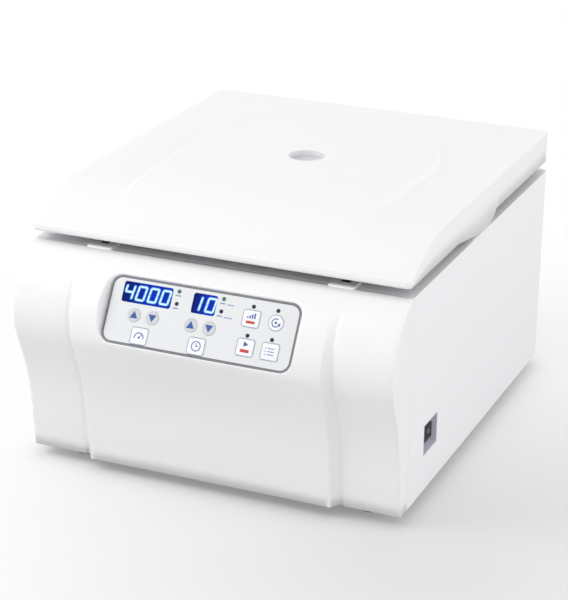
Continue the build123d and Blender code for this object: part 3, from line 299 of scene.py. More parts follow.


# Slate blue signs, the red of the stop marks, pale marks and thin lines, the painted shade round the film's
# edge, and the rocker's marks
blue_ink = screen_ink("slate_blue_ink", "#3c5da6", "#34539a")
red_ink = screen_ink("stop_red_ink", "#d4453c", "#c93a33")
pale_blue_ink = screen_ink("pale_blue_ink", "#8fa6cf", "#879ec9")
line_ink = screen_ink("grey_blue_line_ink", "#98a0bc", "#929ab6")
# A dark grey line painted as the shade in the gap round the film's edge
gap_shade_ink = screen_ink("painted_gap_shade_ink", "#73757c", "#6c6f76")
switch_ink = screen_ink("grey_switch_ink", "#a9a9b0", "#a0a0a8")

# A lit surface is seen through dull film, so hardly any gloss lies over it
film_gloss = 0.05


def glowing(name, hex_colour, strength):
    """A lit surface that gives its own even light over a dark base."""
    material, _, _ = principled(
        name,
        Base_Color=colour("#10131c"),
        Roughness=0.4,
        Specular_IOR_Level=film_gloss,
        Emission_Color=colour(hex_colour),
        Emission_Strength=strength,
    )
    return material


def lit_filter(name, stops, low, high):
    """A backlit filter whose glow runs through several tones from one side to the other."""
    material, tree, shader = principled(
        name,
        Base_Color=colour("#070b1d"),
        Roughness=0.12,
        Specular_IOR_Level=film_gloss,
        Emission_Strength=1.0,
    )
    across = ranged(tree, position(tree)["X"], low * mm, high * mm)
    ramp = add_node(tree, "ShaderNodeValToRGB", {"Fac": across})
    ramp.color_ramp.elements[0].color = colour(stops[0][1])
    ramp.color_ramp.elements[-1].color = colour(stops[-1][1])
    for share, tone in stops[1:-1]:
        ramp.color_ramp.elements.new(share).color = colour(tone)
    tree.links.new(ramp.outputs["Color"], shader.inputs["Emission Color"])
    return material


# Tinted acrylic over lit digits: navy at the unlit end, vivid blue round the digits
blue_stops = [(0.0, "#0a1863"), (0.3, "#0d2494"), (0.6, "#1030b8"), (1.0, "#0f2cab")]
display_filters = {}
for node, across, up, width, height, digits in displays:
    filter_name = f"blue_filter_{node}"
    display_filters[node] = lit_filter(filter_name, blue_stops, across - width / 2, across + width / 2)
digit_core = glowing("lit_digit_core", "#e4fbff", 1.0)
digit_halo = glowing("lit_digit_halo", "#4fb0ff", 0.9)

# The lit lamps are the upper ones beside the displays: left of one place and above another
lit_lamps_right = 35.0
lit_lamps_bottom = 205.0


def lamp_lens():
    """Epoxy lamp lenses: the two in the upper row beside the displays are lit green, the rest are dark."""
    material, tree, shader = principled("epoxy_lamp_lens", Roughness=0.25)
    spot = position(tree)
    left = maths(tree, "LESS_THAN", spot["X"], lit_lamps_right * mm)
    upper = maths(tree, "GREATER_THAN", spot["Z"], lit_lamps_bottom * mm)
    two_tone(tree, shader, maths(tree, "MULTIPLY", left, upper), dark="#1d2144", light="#3c7a5c")
    return material


# The window is painted darker on the left and brighter on the right: painted shade and painted light for
# the room it catches through the lid
window_painted_shade_x = -12.0
window_painted_light_x = 16.0


def frosted_window():
    """Frosted polycarbonate: milky, so that it hides the chamber and reads pale grey, with painted shade on
    its left and painted light on its right.
    """
    material, tree, shader = principled(
        "frosted_polycarbonate", Roughness=0.3, IOR=1.58, Transmission_Weight=0.25
    )
    across = ranged(tree, position(tree)["X"], window_painted_shade_x * mm, window_painted_light_x * mm)
    # Painted shade to painted light, from left to right across the window
    two_tone(tree, shader, across, dark="#dcdde0", light="#fafbfc")
    return material


def dress(node, material):
    """Gives a CAD node its finish."""
    slots = nodes[node].data.materials
    slots.clear()
    slots.append(material)


finishes = {
    powder_coat: "cabinet top_deck",
    zinc_plate: """base_pan guard_ring motor_plate hinge_brackets hinge_leaves
        latch_block_left latch_block_right""",
    stainless: """lid_liner motor_shaft rotor_nut hinge_pins foot_screws cabinet_screws lid_screws
        latch_bolt_left latch_bolt_right""",
    spun_steel: "chamber_bowl",
    anodised: "rotor_head bucket_1 bucket_2 bucket_3 bucket_4",
    cast_metal: "motor_housing",
    rubber: """motor_dampers shaft_boot lid_gasket
        foot_front_left foot_front_right foot_rear_left foot_rear_right""",
    black_nylon: "switch_bezel power_rocker power_inlet fuse_drawer lid_hook_left lid_hook_right",
    grey_acetal: "window_ring",
    printed_film: "control_overlay",
    key_film: """key_speed_mode key_time_mode key_soft_stop key_quick_spin
        key_start_stop key_program""",
    grey_key_film: "key_speed_up key_speed_down key_time_up key_time_down",
    board_mask: "control_board drive_board",
    moulded_abs: "front_cover lid_shell",
    # The switch well's darker grey is painted shade of its recess
    well_shade_polycarbonate: "switch_well",
    lamp_lens(): "indicator_leds",
    frosted_window(): "view_window",
}
for material, members in finishes.items():
    for node in members.split():
        dress(node, material)
for node, material in display_filters.items():
    dress(node, material)

# Mesh helpers


def shares(count):
    """Even shares up to 1, without 0."""
    return [step / count for step in range(1, count + 1)]


halvings = 30
sharp_angle = radians(30.0)


def halved(low, high, test):
    """The place between two values where a test that holds at the low one stops holding."""
    for _ in range(halvings):
        middle = (low + high) / 2
        if test(middle):
            low = middle
        else:
            high = middle
    return middle


def add_object(mesh, name, materials):
    """Turns a mesh into an object of the scene."""
    data = bpy.data.meshes.new(name)
    mesh.to_mesh(data)
    mesh.free()
    for material in materials:
        data.materials.append(material)
    thing = bpy.data.objects.new(name, data)
    bpy.context.scene.collection.objects.link(thing)
    return thing


def add_piece(mesh, name, body, materials, replaced=()):
    """Turns a mesh in millimetres into a piece in metres that rides on a body."""
    bmesh.ops.scale(mesh, vec=(mm, mm, mm), verts=mesh.verts)
    piece = add_object(mesh, name, materials)
    piece.data.shade_smooth()
    piece.data.set_sharp_from_angle(angle=sharp_angle)
    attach(piece, body)
    if replaced:
        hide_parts(*replaced)
    return piece


def thicken(piece, thickness):
    """Gives a finished skin its wall, inwards."""
    wall = piece.modifiers.new("wall", "SOLIDIFY")
    wall.thickness = thickness * mm
    wall.offset = -1.0
    wall.use_even_offset = True
    wall.use_rim = True


def round_off(mesh, parts, radius, steps, affect="EDGES"):
    """Bevels edges, or the corners of a flat shape, to a radius."""
    return bmesh.ops.bevel(
        mesh, geom=parts, offset=radius, segments=steps, affect=affect, profile=0.5, material=-1
    )


def first_chain(mesh, places, closed=False):
    """A line of points joined by edges, to be extruded from."""
    chain = [mesh.verts.new(place) for place in places]
    for near, far in zip(chain, chain[1:]):
        mesh.edges.new((near, far))
    if closed:
        mesh.edges.new((chain[-1], chain[0]))
    return chain


def extend(mesh, chain, places, closed=False):
    """Extrudes a chain once, and puts its new points at the given places."""
    pairs = list(zip(chain, chain[1:]))
    if closed:
        pairs.append((chain[-1], chain[0]))
    edges = [mesh.edges.get(pair) for pair in pairs]
    grown = bmesh.ops.extrude_edge_only(mesh, edges=edges)
    fresh = {part for part in grown["geom"] if isinstance(part, bmesh.types.BMVert)}
    following = []
    for vert, place in zip(chain, places):
        twin = next(e.other_vert(vert) for e in vert.link_edges if e.other_vert(vert) in fresh)
        twin.co = place
        following.append(twin)
    return following


def smooth_share(share):
    """Eases from 0 to 1 with level ends."""
    return share * share * (3 - 2 * share)


def corner_arc(x, y, radius, start, sweep, steps):
    """Places along a flat arc with their outward directions, both ends included."""
    angles = [start + sweep * step / steps for step in range(steps + 1)]
    return [(x + radius * cos(angle), y + radius * sin(angle), cos(angle), sin(angle)) for angle in angles]


# Front moulding


def facing(angle):
    """Outward direction on the side view, at an angle turned from straight up towards the front."""
    return Vector((-sin(angle), cos(angle)))


def along(angle):
    """Direction down the outline where its outward direction has this angle."""
    return Vector((-cos(angle), -sin(angle)))


def outline_pieces(shape):
    """The parts of a front outline: kind, centre or start, radius or length, both angles, and steps."""
    bulge, nose, fall = shape["bulge"], shape["nose"], shape["fall"]
    lean, foot_lean = radians(shape["lean"]), radians(shape["foot_lean"])
    level, upright = 0.0, pi / 2
    brow_centre = Vector((brow_y, body_top - brow_radius))
    shoulder_start = brow_centre + facing(brow_turn) * brow_radius
    reach = shoulder_start.x - shape["front"] - bulge * (1 - sin(brow_turn))
    shoulder_length = reach / cos(brow_turn)
    shoulder_end = shoulder_start + along(brow_turn) * shoulder_length
    bulge_centre = shoulder_end - facing(brow_turn) * bulge
    nose_centre = bulge_centre + Vector((nose - bulge, 0))
    slope_start = nose_centre + facing(upright + lean) * nose
    slope_length = (slope_start.y - shape["knee_z"]) / cos(lean)
    knee_place = slope_start + along(upright + lean) * slope_length
    fall_centre = knee_place + facing(upright + lean) * fall
    fall_end = fall_centre - facing(upright + foot_lean) * fall
    foot_length = (fall_end.y - foot_height) / cos(foot_lean)
    return [
        ("line", Vector((seam_y, body_top)), seam_y - brow_y, level, level, flat_steps),
        ("arc", brow_centre, brow_radius, level, brow_turn, brow_steps),
        ("line", shoulder_start, shoulder_length, brow_turn, brow_turn, shoulder_steps),
        ("arc", bulge_centre, bulge, brow_turn, upright, bulge_steps),
        ("arc", nose_centre, nose, upright, upright + lean, nose_steps),
        ("line", slope_start, slope_length, upright + lean, upright + lean, slope_steps),
        ("hollow", fall_centre, fall, upright + lean, upright + foot_lean, fall_steps),
        ("line", fall_end, foot_length, upright + foot_lean, upright + foot_lean, foot_steps),
    ]


def outline_point(piece, share):
    """Place on the side view, and its outward angle, part of the way along one piece of the outline."""
    kind, anchor, size, start, end, _ = piece
    angle = start + (end - start) * share
    if kind == "arc":
        return anchor + facing(angle) * size, angle
    if kind == "hollow":
        return anchor - facing(angle) * size, angle
    return anchor + along(angle) * size * share, angle


def front_outline(shape):
    """Places and outward angles down the front, the same number of them for every shape."""
    pieces = outline_pieces(shape)
    line = [outline_point(pieces[0], 0.0)]
    for piece in pieces:
        line += [outline_point(piece, share) for share in shares(piece[-1])]
    return line


def between(first, second, share):
    """Outline values a share of the way from one outline to another."""
    return {key: first[key] + (second[key] - first[key]) * share for key in first}


def crowned(x):
    """The panel's outline at one place across: it stands furthest forward in the middle."""
    return between(panel_shape, panel_edge_shape, min(1.0, abs(x) / panel_half) ** 2)


def across_at(x, line, drops=None):
    """A column of places at one width, each set in from the outline by its own drop if there is one."""
    places = []
    for (spot, angle), depth in zip(line, drops or [0.0] * len(line)):
        inner = spot - facing(angle) * depth
        places.append(Vector((x, inner.x, inner.y)))
    return places


def measured_runs(shape):
    """Start and end of each piece of an outline, by distance down the front, with its place and steps."""
    runs = []
    reached = 0.0
    for index, (kind, _, size, start, end, steps) in enumerate(outline_pieces(shape)):
        length = size if kind == "line" else size * abs(end - start)
        runs.append((reached, reached + length, index, steps))
        reached += length
    return runs


panel_runs = measured_runs(panel_shape)
panel_length = panel_runs[-1][1]


def panel_at(x, distance):
    """A place on the crowned panel face, by its distance down from the seam along the middle."""
    for start, end, index, _ in panel_runs:
        if distance <= end:
            break
    share = min(1.0, (distance - start) / (end - start))
    spot, _ = outline_point(outline_pieces(crowned(x))[index], share)
    return Vector((x, spot.x, spot.y))


def panel_distance(spot):
    """How far down the panel face a place lies, and how far in front of the face."""
    distance = halved(0.0, panel_length, lambda down: panel_at(spot.x, down).z > spot.z)
    return distance, panel_at(spot.x, distance).y - spot.y


def well_outline():
    """Right half of the overlay's outline with its outward directions, from top middle to bottom middle."""
    half_across = overlay_width / 2 + well_gap
    half_up = overlay_height / 2 + well_gap
    corner = overlay_corner + well_gap
    middle = overlay_height / 2
    straight = half_across - corner
    rise = half_up - corner
    points = []
    for step in range(well_top_steps):
        points.append((straight * step / well_top_steps, middle + half_up, 0.0, 1.0))
    points += corner_arc(straight, middle + rise, corner, pi / 2, -pi / 2, well_corner_steps)[:-1]
    for step in range(well_side_steps):
        points.append((half_across, middle + rise * (1 - 2 * step / well_side_steps), 1.0, 0.0))
    points += corner_arc(straight, middle - rise, corner, 0.0, -pi / 2, well_corner_steps)[:-1]
    for step in range(well_top_steps + 1):
        points.append((straight * (1 - step / well_top_steps), middle - half_up, 0.0, -1.0))
    return points


def flared(point, out):
    """A place on the well's flared wall, some way out from the overlay's face."""
    across, up, turn_x, turn_up = point
    spread = (out + overlay_thickness) * tan(well_flare)
    return on_panel(across + turn_x * spread, up + turn_up * spread, out)


def rim_height(point):
    """How far out the flared wall meets the panel face."""
    return halved(
        -overlay_thickness, well_rim_reach, lambda out: panel_distance(flared(point, out))[1] < 0
    )


def side_share(share):
    """How far back the panel's sloped side has come, with a soft turn at both ends."""
    soft = panel_side_soft
    slope = 1 / (1 - soft)
    if share < soft:
        return slope * share**2 / (2 * soft)
    if share > 1 - soft:
        return 1 - slope * (1 - share) ** 2 / (2 * soft)
    return slope * (share - soft / 2)


def soft_rim_places(flat_rim):
    """The well's rim on the panel face, moved outwards by the rim's round."""
    ends = [(-x, distance) for x, distance in (flat_rim[1], flat_rim[-2])]
    line = [ends[0], *flat_rim, ends[1]]
    places = []
    for (x, distance), before, after in zip(flat_rim, line, line[2:]):
        run_x, run_down = after[0] - before[0], after[1] - before[1]
        reach = well_rim_round / hypot(run_x, run_down)
        places.append((x + reach * run_down, distance - reach * run_x))
    return places


def add_well(mesh, marks):
    """The flared well, its soft rim, and the panel face out to a square frame, which is returned."""
    outline = well_outline()
    heights = [rim_height(point) for point in outline]
    wall_top = [
        flared(point, height - well_rim_round * cos(well_flare)) for point, height in zip(outline, heights)
    ]
    corners = [flared(point, height) for point, height in zip(outline, heights)]
    soft_rim = soft_rim_places([(corner.x, panel_distance(corner)[0]) for corner in corners])
    face_start = [panel_at(x, distance) for x, distance in soft_rim]
    chain = first_chain(mesh, [flared(point, -overlay_thickness) for point in outline])
    chain = extend(mesh, chain, wall_top)
    for share in shares(5):
        places = [
            a * (1 - share) ** 2 + b * 2 * share * (1 - share) + c * share**2
            for a, b, c in zip(wall_top, corners, face_start)
        ]
        chain = extend(mesh, chain, places)
    first, last = well_frame_first, well_frame_last
    count = last - first
    frame_places = [(well_frame_half * step / count, marks[first]) for step in range(count)]
    frame_places += [(well_frame_half, marks[mark]) for mark in range(first, last)]
    frame_places += [(well_frame_half * (1 - step / count), marks[last]) for step in range(count + 1)]
    for share in shares(4):
        places = [
            panel_at(x0 + (x1 - x0) * share, d0 + (d1 - d0) * share)
            for (x0, d0), (x1, d1) in zip(soft_rim, frame_places)
        ]
        chain = extend(mesh, chain, places)
    return chain


def add_face(mesh, marks, chain):
    """The panel face above and below the well's frame; returns the column beside the frame."""
    count = well_frame_last - well_frame_first
    upper, side, lower = chain[: count + 1], chain[count : 2 * count + 1], chain[2 * count :]
    above, below = [], []
    for mark in reversed(range(well_frame_first)):
        upper = extend(mesh, upper, [panel_at(vert.co.x, marks[mark]) for vert in upper])
        above.append(upper[-1])
    for mark in range(well_frame_last + 1, len(marks)):
        lower = extend(mesh, lower, [panel_at(vert.co.x, marks[mark]) for vert in lower])
        below.append(lower[0])
    return list(reversed(above)) + side + below


def add_corner(mesh, chain):
    """The panel's end, its sloped side, the groove, the rise to the wing, the wing and its round edge."""
    for x in (panel_column, panel_half):
        chain = extend(mesh, chain, across_at(x, front_outline(crowned(x))))
    for share in side_columns:
        shape = between(panel_edge_shape, groove_shape, side_share(share))
        chain = extend(mesh, chain, across_at(panel_half + panel_side_width * share, front_outline(shape)))
    rise_start = panel_half + panel_side_width + groove_width
    for share in (0.0, *shares(5)):
        shape = between(groove_shape, wing_shape, smooth_share(share))
        chain = extend(mesh, chain, across_at(rise_start + groove_rise_width * share, front_outline(shape)))
    wing_line = front_outline(wing_shape)
    for x in wing_columns:
        chain = extend(mesh, chain, across_at(x, wing_line))
    # The round starts nearly square at the seam, where the edge meets the lid's corner
    eases = [min(1.0, edge_round_start + index / edge_round_marks) for index in range(len(wing_line))]
    rounds = [wing_edge_round * ease for ease in eases]
    for share in shares(5):
        angle = pi / 2 * share
        places = across_at(half_width, wing_line, [radius * (1 - cos(angle)) for radius in rounds])
        for place, radius in zip(places, rounds):
            place.x -= radius * (1 - sin(angle))
        chain = extend(mesh, chain, places)
    edge = [vert.co.copy() for vert in chain]
    side_end = seam_y - seam_chamfer
    for share in edge_rows:
        places = [Vector((half_width, min(p.y + (side_end - p.y) * share, seam_y), p.z)) for p in edge]
        chain = extend(mesh, chain, places)
    extend(mesh, chain, [Vector((half_width - seam_chamfer, seam_y, p.z)) for p in edge])


def make_front():
    """The front moulding's right half, from the panel well out to the side, and then its mirror."""
    mesh = bmesh.new()
    marks = []
    for start, end, _, steps in panel_runs:
        marks += [start + (end - start) * step / steps for step in range(steps)]
    marks.append(panel_length)
    column = add_face(mesh, marks, add_well(mesh, marks))
    add_corner(mesh, column)
    geometry = mesh.verts[:] + mesh.edges[:] + mesh.faces[:]
    bmesh.ops.mirror(mesh, geom=geometry, merge_dist=0.01, axis="X")
    bmesh.ops.remove_doubles(mesh, verts=mesh.verts, dist=0.02)
    bmesh.ops.dissolve_degenerate(mesh, edges=mesh.edges, dist=0.01)
    bmesh.ops.recalc_face_normals(mesh, faces=mesh.faces)
    return mesh


front_mesh = make_front()
front = add_piece(front_mesh, "front_moulding", "cabinet", [moulded_abs], ["front_cover"])
thicken(front, moulding_wall)

# Lid


def lid_height(y, top):
    """Height of one lid profile: lip, slope, round turn and flat top."""
    turn_start_z = top - lid_turn * (1 - cos(lid_slope))
    turn_start_y = lid_front_y + (turn_start_z - lid_bottom - lid_lip) / tan(lid_slope)
    turn_end_y = turn_start_y + lid_turn * sin(lid_slope)
    if y <= turn_start_y:
        return lid_bottom + lid_lip + (y - lid_front_y) * tan(lid_slope)
    if y >= turn_end_y:
        return top
    return top - lid_turn + sqrt(lid_turn**2 - (turn_end_y - y) ** 2)


def plateau_reach(turn_x, turn_y, shrink):
    """Distance from the view port's middle to the raised middle's outline, in one direction."""
    rear_half = plateau_half_rear - shrink
    front_half = plateau_half_front - shrink
    lean = (rear_half - front_half) / (plateau_centre_y - plateau_front_y)
    options = []
    offset = rotor_y - plateau_centre_y
    dot = offset * turn_y
    arc_reach = sqrt(dot * dot - offset * offset + rear_half * rear_half) - dot
    if rotor_y + arc_reach * turn_y >= plateau_centre_y:
        options.append(arc_reach)
    if abs(turn_x) > 0.001:
        side_reach = (rear_half + lean * offset) / (abs(turn_x) - lean * turn_y)
        if side_reach > 0 and rotor_y + side_reach * turn_y < plateau_centre_y:
            options.append(side_reach)
    if turn_y < 0:
        options.append((plateau_front_y + shrink - rotor_y) / turn_y)
    return min(options)


def lid_surface(x, y, share):
    """A place on the top of the lid, with the share of the raised middle's height that it has."""
    low = lid_height(y, lid_rim_top)
    high = lid_height(y, lid_plateau_top)
    return Vector((x, y, low + (high - low) * share))


def lid_outline():
    """Places and outward directions all round the lid's edge, starting at the front middle."""
    straight = lid_half - lid_corner
    steps = lid_corner_steps
    half = [(straight * step / lid_columns, lid_front_y, 0.0, -1.0) for step in range(lid_columns)]
    half += corner_arc(straight, lid_front_y + lid_corner, lid_corner, -pi / 2, pi / 2, steps)
    half += [(lid_half, y, 1.0, 0.0) for y in (*lid_front_rows, *lid_tab_rows, *lid_rear_rows)]
    half += corner_arc(straight, rear_y - lid_corner, lid_corner, 0.0, pi / 2, steps)
    half += [(straight * (1 - share), rear_y, 0.0, 1.0) for share in shares(lid_columns)]
    other = [(-x, y, -turn_x, turn_y) for x, y, turn_x, turn_y in reversed(half[1:-1])]
    return half + other


def tab_drop(x, y):
    """How far the tab on a side edge hangs below the lid."""
    if abs(x) < lid_half - 0.01:
        return 0.0
    for (near_y, near_drop), (far_y, far_drop) in zip(tab_points, tab_points[1:]):
        if near_y <= y <= far_y:
            return near_drop + (far_drop - near_drop) * (y - near_y) / (far_y - near_y)
    return 0.0


def make_lid():
    """The lid moulding, from the view port outwards over the raised middle, the rim and the side walls."""
    mesh = bmesh.new()
    outline = lid_outline()
    inset = [(x - tx * lid_edge_round, y - ty * lid_edge_round) for x, y, tx, ty in outline]
    turns = []
    for x, y in inset:
        length = hypot(x, y - rotor_y)
        turns.append((x / length, (y - rotor_y) / length, length))

    def ring(reaches, share, drop=0.0):
        places = []
        for (tx, ty, _), reach in zip(turns, reaches):
            place = lid_surface(reach * tx, rotor_y + reach * ty, share)
            place.z -= drop
            places.append(place)
        return places

    inner = [plateau_reach(tx, ty, plateau_step) for tx, ty, _ in turns]
    outer = [plateau_reach(tx, ty, 0.0) for tx, ty, _ in turns]
    chain = first_chain(mesh, ring([port_radius] * len(turns), 1.0, port_edge), closed=True)
    for share in shares(3):
        angle = pi / 2 * share
        radius = port_radius + port_edge * (1 - cos(angle))
        drop = port_edge * (1 - sin(angle))
        chain = extend(mesh, chain, ring([radius] * len(turns), 1.0, drop), closed=True)
    start = port_radius + port_edge
    for share in shares(10):
        chain = extend(mesh, chain, ring([start + (r - start) * share for r in inner], 1.0), closed=True)
    for share in shares(8):
        reaches = [a + (b - a) * share for a, b in zip(inner, outer)]
        chain = extend(mesh, chain, ring(reaches, 1 - smooth_share(share)), closed=True)
    for share in shares(7):
        reaches = [a + (length - a) * share for a, (_, _, length) in zip(outer, turns)]
        chain = extend(mesh, chain, ring(reaches, 0.0), closed=True)
    tops = [vert.co.z for vert in chain]
    for share in shares(5):
        angle = pi / 2 * share
        spread = lid_edge_round * sin(angle)
        drop = lid_edge_round * (1 - cos(angle))
        places = []
        for (x, y), (_, _, tx, ty), top in zip(inset, outline, tops):
            places.append(Vector((x + tx * spread, y + ty * spread, top - drop)))
        chain = extend(mesh, chain, places, closed=True)
    edge = [vert.co.z for vert in chain]
    for share in (0.5, 1.0):
        places = []
        for (x, y, _, _), top in zip(outline, edge):
            bottom = lid_bottom - tab_drop(x, y) if share == 1.0 else lid_bottom
            places.append(Vector((x, y, top + (bottom - top) * share)))
        chain = extend(mesh, chain, places, closed=True)
    bmesh.ops.recalc_face_normals(mesh, faces=mesh.faces)
    return mesh


lid = add_piece(make_lid(), "lid_moulding", "lid", [moulded_abs], ["lid_shell"])
thicken(lid, moulding_wall)

# Latch pads in front of the seam, one round each latch slot


def make_pads():
    """Front halves of the low rounded pads that the latch slots stand in."""
    mesh = bmesh.new()
    for middle in (-pad_x, pad_x):
        made = bmesh.ops.create_cube(mesh, size=1.0)
        bmesh.ops.scale(mesh, vec=(pad_width, pad_depth, pad_height), verts=made["verts"])
        bmesh.ops.translate(mesh, vec=(middle, pad_y, pad_top - pad_height / 2), verts=made["verts"])
    upright = [e for e in mesh.edges if abs(e.verts[0].co.z - e.verts[1].co.z) > pad_height / 2]
    round_off(mesh, upright, pad_corner, 6)
    top = [e for e in mesh.edges if min(v.co.z for v in e.verts) > pad_top - 0.1]
    round_off(mesh, top, pad_edge_round, 4)
    geometry = mesh.verts[:] + mesh.edges[:] + mesh.faces[:]
    bmesh.ops.bisect_plane(
        mesh, geom=geometry, plane_co=(0, seam_y, 0), plane_no=(0, 1, 0), clear_outer=True
    )
    return mesh


add_piece(make_pads(), "latch_pads_front", "cabinet", [moulded_abs], ["front_cover"])

# Marks on the panel, drawn flat in millimetres and then laid on it


def lay(mesh, verts, across, up, turn=0.0, ink=0):
    """Turns a new flat shape, moves it to its place, and gives its faces an ink by its number."""
    bmesh.ops.rotate(mesh, cent=(0, 0, 0), matrix=Matrix.Rotation(radians(turn), 3, "Z"), verts=verts)
    bmesh.ops.translate(mesh, vec=(across, up, 0), verts=verts)
    for face in {face for vert in verts for face in vert.link_faces}:
        face.material_index = ink


def rectangle(mesh, width, height):
    """A flat rectangle about the origin; returns its corners."""
    verts = bmesh.ops.create_grid(mesh, x_segments=1, y_segments=1, size=0.5)["verts"]
    bmesh.ops.scale(mesh, vec=(width, height, 1), verts=verts)
    return verts


def bar(mesh, across, up, length, width, turn=0.0, ink=0, cut=0.0):
    """A flat bar, turned by an angle in degrees, with its corners cut if asked."""
    verts = rectangle(mesh, length, width)
    lay(mesh, verts, across, up, turn, ink)
    if cut:
        round_off(mesh, verts, cut, 1, "VERTICES")


def disc(mesh, across, up, radius, sides=32, turn=0.0, ink=0):
    """A flat disc, or a triangle with its point up when it has three sides."""
    made = bmesh.ops.create_circle(mesh, cap_ends=True, segments=sides, radius=radius)
    lay(mesh, made["verts"], across, up, turn, ink)


def arc(mesh, across, up, inner, outer, start=0, sweep=360, ink=0):
    """A flat part of a ring, from a start angle through a sweep, both in degrees."""
    earlier = set(mesh.verts)
    chain = first_chain(mesh, [Vector((inner, 0, 0)), Vector((outer, 0, 0))])
    bmesh.ops.spin(
        mesh,
        geom=[*chain, mesh.edges.get(chain)],
        cent=(0, 0, 0),
        axis=(0, 0, 1),
        angle=radians(sweep),
        steps=max(6, int(abs(sweep) / 10)),
        use_merge=abs(sweep) >= 360,
    )
    lay(mesh, [vert for vert in mesh.verts if vert not in earlier], across, up, start, ink)


def outline_ring(mesh, across, up, width, height, corner, line, ink=0):
    """A thin rounded-rectangle line, drawn inwards from its outer size."""
    verts = rectangle(mesh, width, height)
    lay(mesh, verts, across, up)
    rounded = round_off(mesh, verts, corner, 8, "VERTICES")
    face = rounded["verts"][0].link_faces[0]
    inset = bmesh.ops.inset_region(
        mesh, faces=[face], thickness=line, use_even_offset=True, use_boundary=True
    )
    for part in inset["faces"]:
        part.material_index = ink
    bmesh.ops.delete(mesh, geom=[face], context="FACES_ONLY")


def face_towards(mesh, direction):
    """Turns every face of a flat drawing towards one side."""
    bmesh.ops.recalc_face_normals(mesh, faces=mesh.faces)
    for face in mesh.faces:
        if face.normal.dot(direction) < 0:
            face.normal_flip()


def laid_on_panel(mesh, name, body, materials, out):
    """Lays a flat drawing on the panel, a little proud of what carries it."""
    placed = axes_at(on_panel(0, 0, out), Vector((1, 0, 0)), panel_up, panel_out)
    bmesh.ops.transform(mesh, matrix=placed, verts=mesh.verts)
    face_towards(mesh, panel_out)
    return add_piece(mesh, name, body, materials)


# The dark grey line round the film's edge, painted shade of the gap between the film and the well, and the
# small marks beside the lamps: across, up, length
gap_shade_width = overlay_width - 0.3
gap_shade_height = overlay_height - 0.3
gap_shade_corner = 10.3
gap_shade_line = 1.5
dark_marks = [(-28.3, 55.4, 6.0), (-28.5, 43.0, 5.6), (18.6, 55.2, 5.6), (18.0, 42.8, 5.6)]
pale_marks = [(27.0, 54.6, 7.0), (27.0, 42.2, 8.4)]
mesh = bmesh.new()
# The painted shade line in the gap round the film's edge
outline_ring(mesh, 0, overlay_height / 2, gap_shade_width, gap_shade_height, gap_shade_corner, gap_shade_line)
for across, up, length in dark_marks:
    bar(mesh, across, up, length, 1.3, ink=1, cut=0.3)
for across, up, length in pale_marks:
    bar(mesh, across, up, length, 1.1, ink=2, cut=0.3)
panel_shade_and_inks = [gap_shade_ink, line_ink, pale_blue_ink]
laid_on_panel(mesh, "panel_shade_and_print", "cabinet", panel_shade_and_inks, 0.03)

# Digits: the seven bars of a digit, with their places as shares of its half width and half height
cell_half_width = 4.1
cell_half_height = 6.6
stroke = 1.7
stroke_cut = 0.7
digit_bars = {
    "a": (0, 1, 0),
    "b": (1, 0.5, 90),
    "c": (1, -0.5, 90),
    "d": (0, -1, 0),
    "e": (-1, -0.5, 90),
    "f": (-1, 0.5, 90),
    "g": (0, 0, 0),
}
digit_strokes = {"4": "fgbc", "0": "abcdef", "1": "bc"}
digit_slant = tan(radians(8))
digit_places = {
    "display_speed": [-19.4, -6.5, 6.4, 19.3],
    "display_time": [-8.0, 6.9],
}
# Two layers of each display's digits: name, growth of the strokes, material, distance out from the film
digit_layers = [("halo", 1.3, digit_halo, -0.27), ("core", 0.0, digit_core, -0.24)]
for node, across, up, width, height, digits in displays:
    for layer, growth, ink, out in digit_layers:
        mesh = bmesh.new()
        for digit, place in zip(digits, digit_places[node]):
            for name in digit_strokes[digit]:
                x_share, up_share, turn = digit_bars[name]
                x, y = place + x_share * cell_half_width, up_share * cell_half_height
                length = (cell_half_height if turn else 2 * cell_half_width) + growth
                bar(mesh, x, y, length, stroke + growth, turn, cut=stroke_cut)
        lean = Matrix(((1, digit_slant, 0, across), (0, 1, 0, up), (0, 0, 1, 0), (0, 0, 0, 1)))
        bmesh.ops.transform(mesh, matrix=lean, verts=mesh.verts)
        laid_on_panel(mesh, f"{node}_{layer}", "cabinet", [ink], out)


def key_drawing(name, across, up):
    """The small sign on one key, drawn round its middle: blue, red and pale inks."""
    mesh = bmesh.new()
    if name.endswith("_up"):
        disc(mesh, across, up - 0.7, 4.9, 3, 0)
    elif name.endswith("_down"):
        disc(mesh, across, up + 0.7, 4.9, 3, 180)
    elif name == "key_speed_mode":
        arc(mesh, across, up - 1.6, 4.2, 5.2, -10, 200)
        bar(mesh, across + 1.1, up - 0.3, 4.2, 0.9, 52)
        disc(mesh, across, up - 1.6, 1.0)
    elif name == "key_time_mode":
        arc(mesh, across, up, 4.1, 5.0)
        bar(mesh, across, up + 1.3, 3.2, 0.8, 90)
        bar(mesh, across + 1.0, up, 2.4, 0.8)
    elif name == "key_soft_stop":
        for step in range(4):
            height = 1.6 + 1.2 * step
            bar(mesh, across - 3.6 + 2.4 * step, up + 0.2 + height / 2, height, 1.5, 90)
        bar(mesh, across, up - 3.6, 9.0, 2.6, ink=1)
    elif name == "key_start_stop":
        disc(mesh, across - 0.4, up + 3.0, 3.1, 3, -90)
        bar(mesh, across, up - 3.4, 9.0, 3.0, ink=1)
    elif name == "key_quick_spin":
        arc(mesh, across, up, 3.4, 4.4, 60, 270)
        disc(mesh, across + 3.9, up - 1.4, 1.9, 3, 200)
        disc(mesh, across, up, 1.2)
    else:
        for step in range(3):
            bar(mesh, across + 0.9, up + 3.0 * (step - 1), 7.0, 1.0, ink=2)
            bar(mesh, across - 4.6, up + 3.0 * (step - 1), 1.2, 1.2, ink=2)
    return mesh


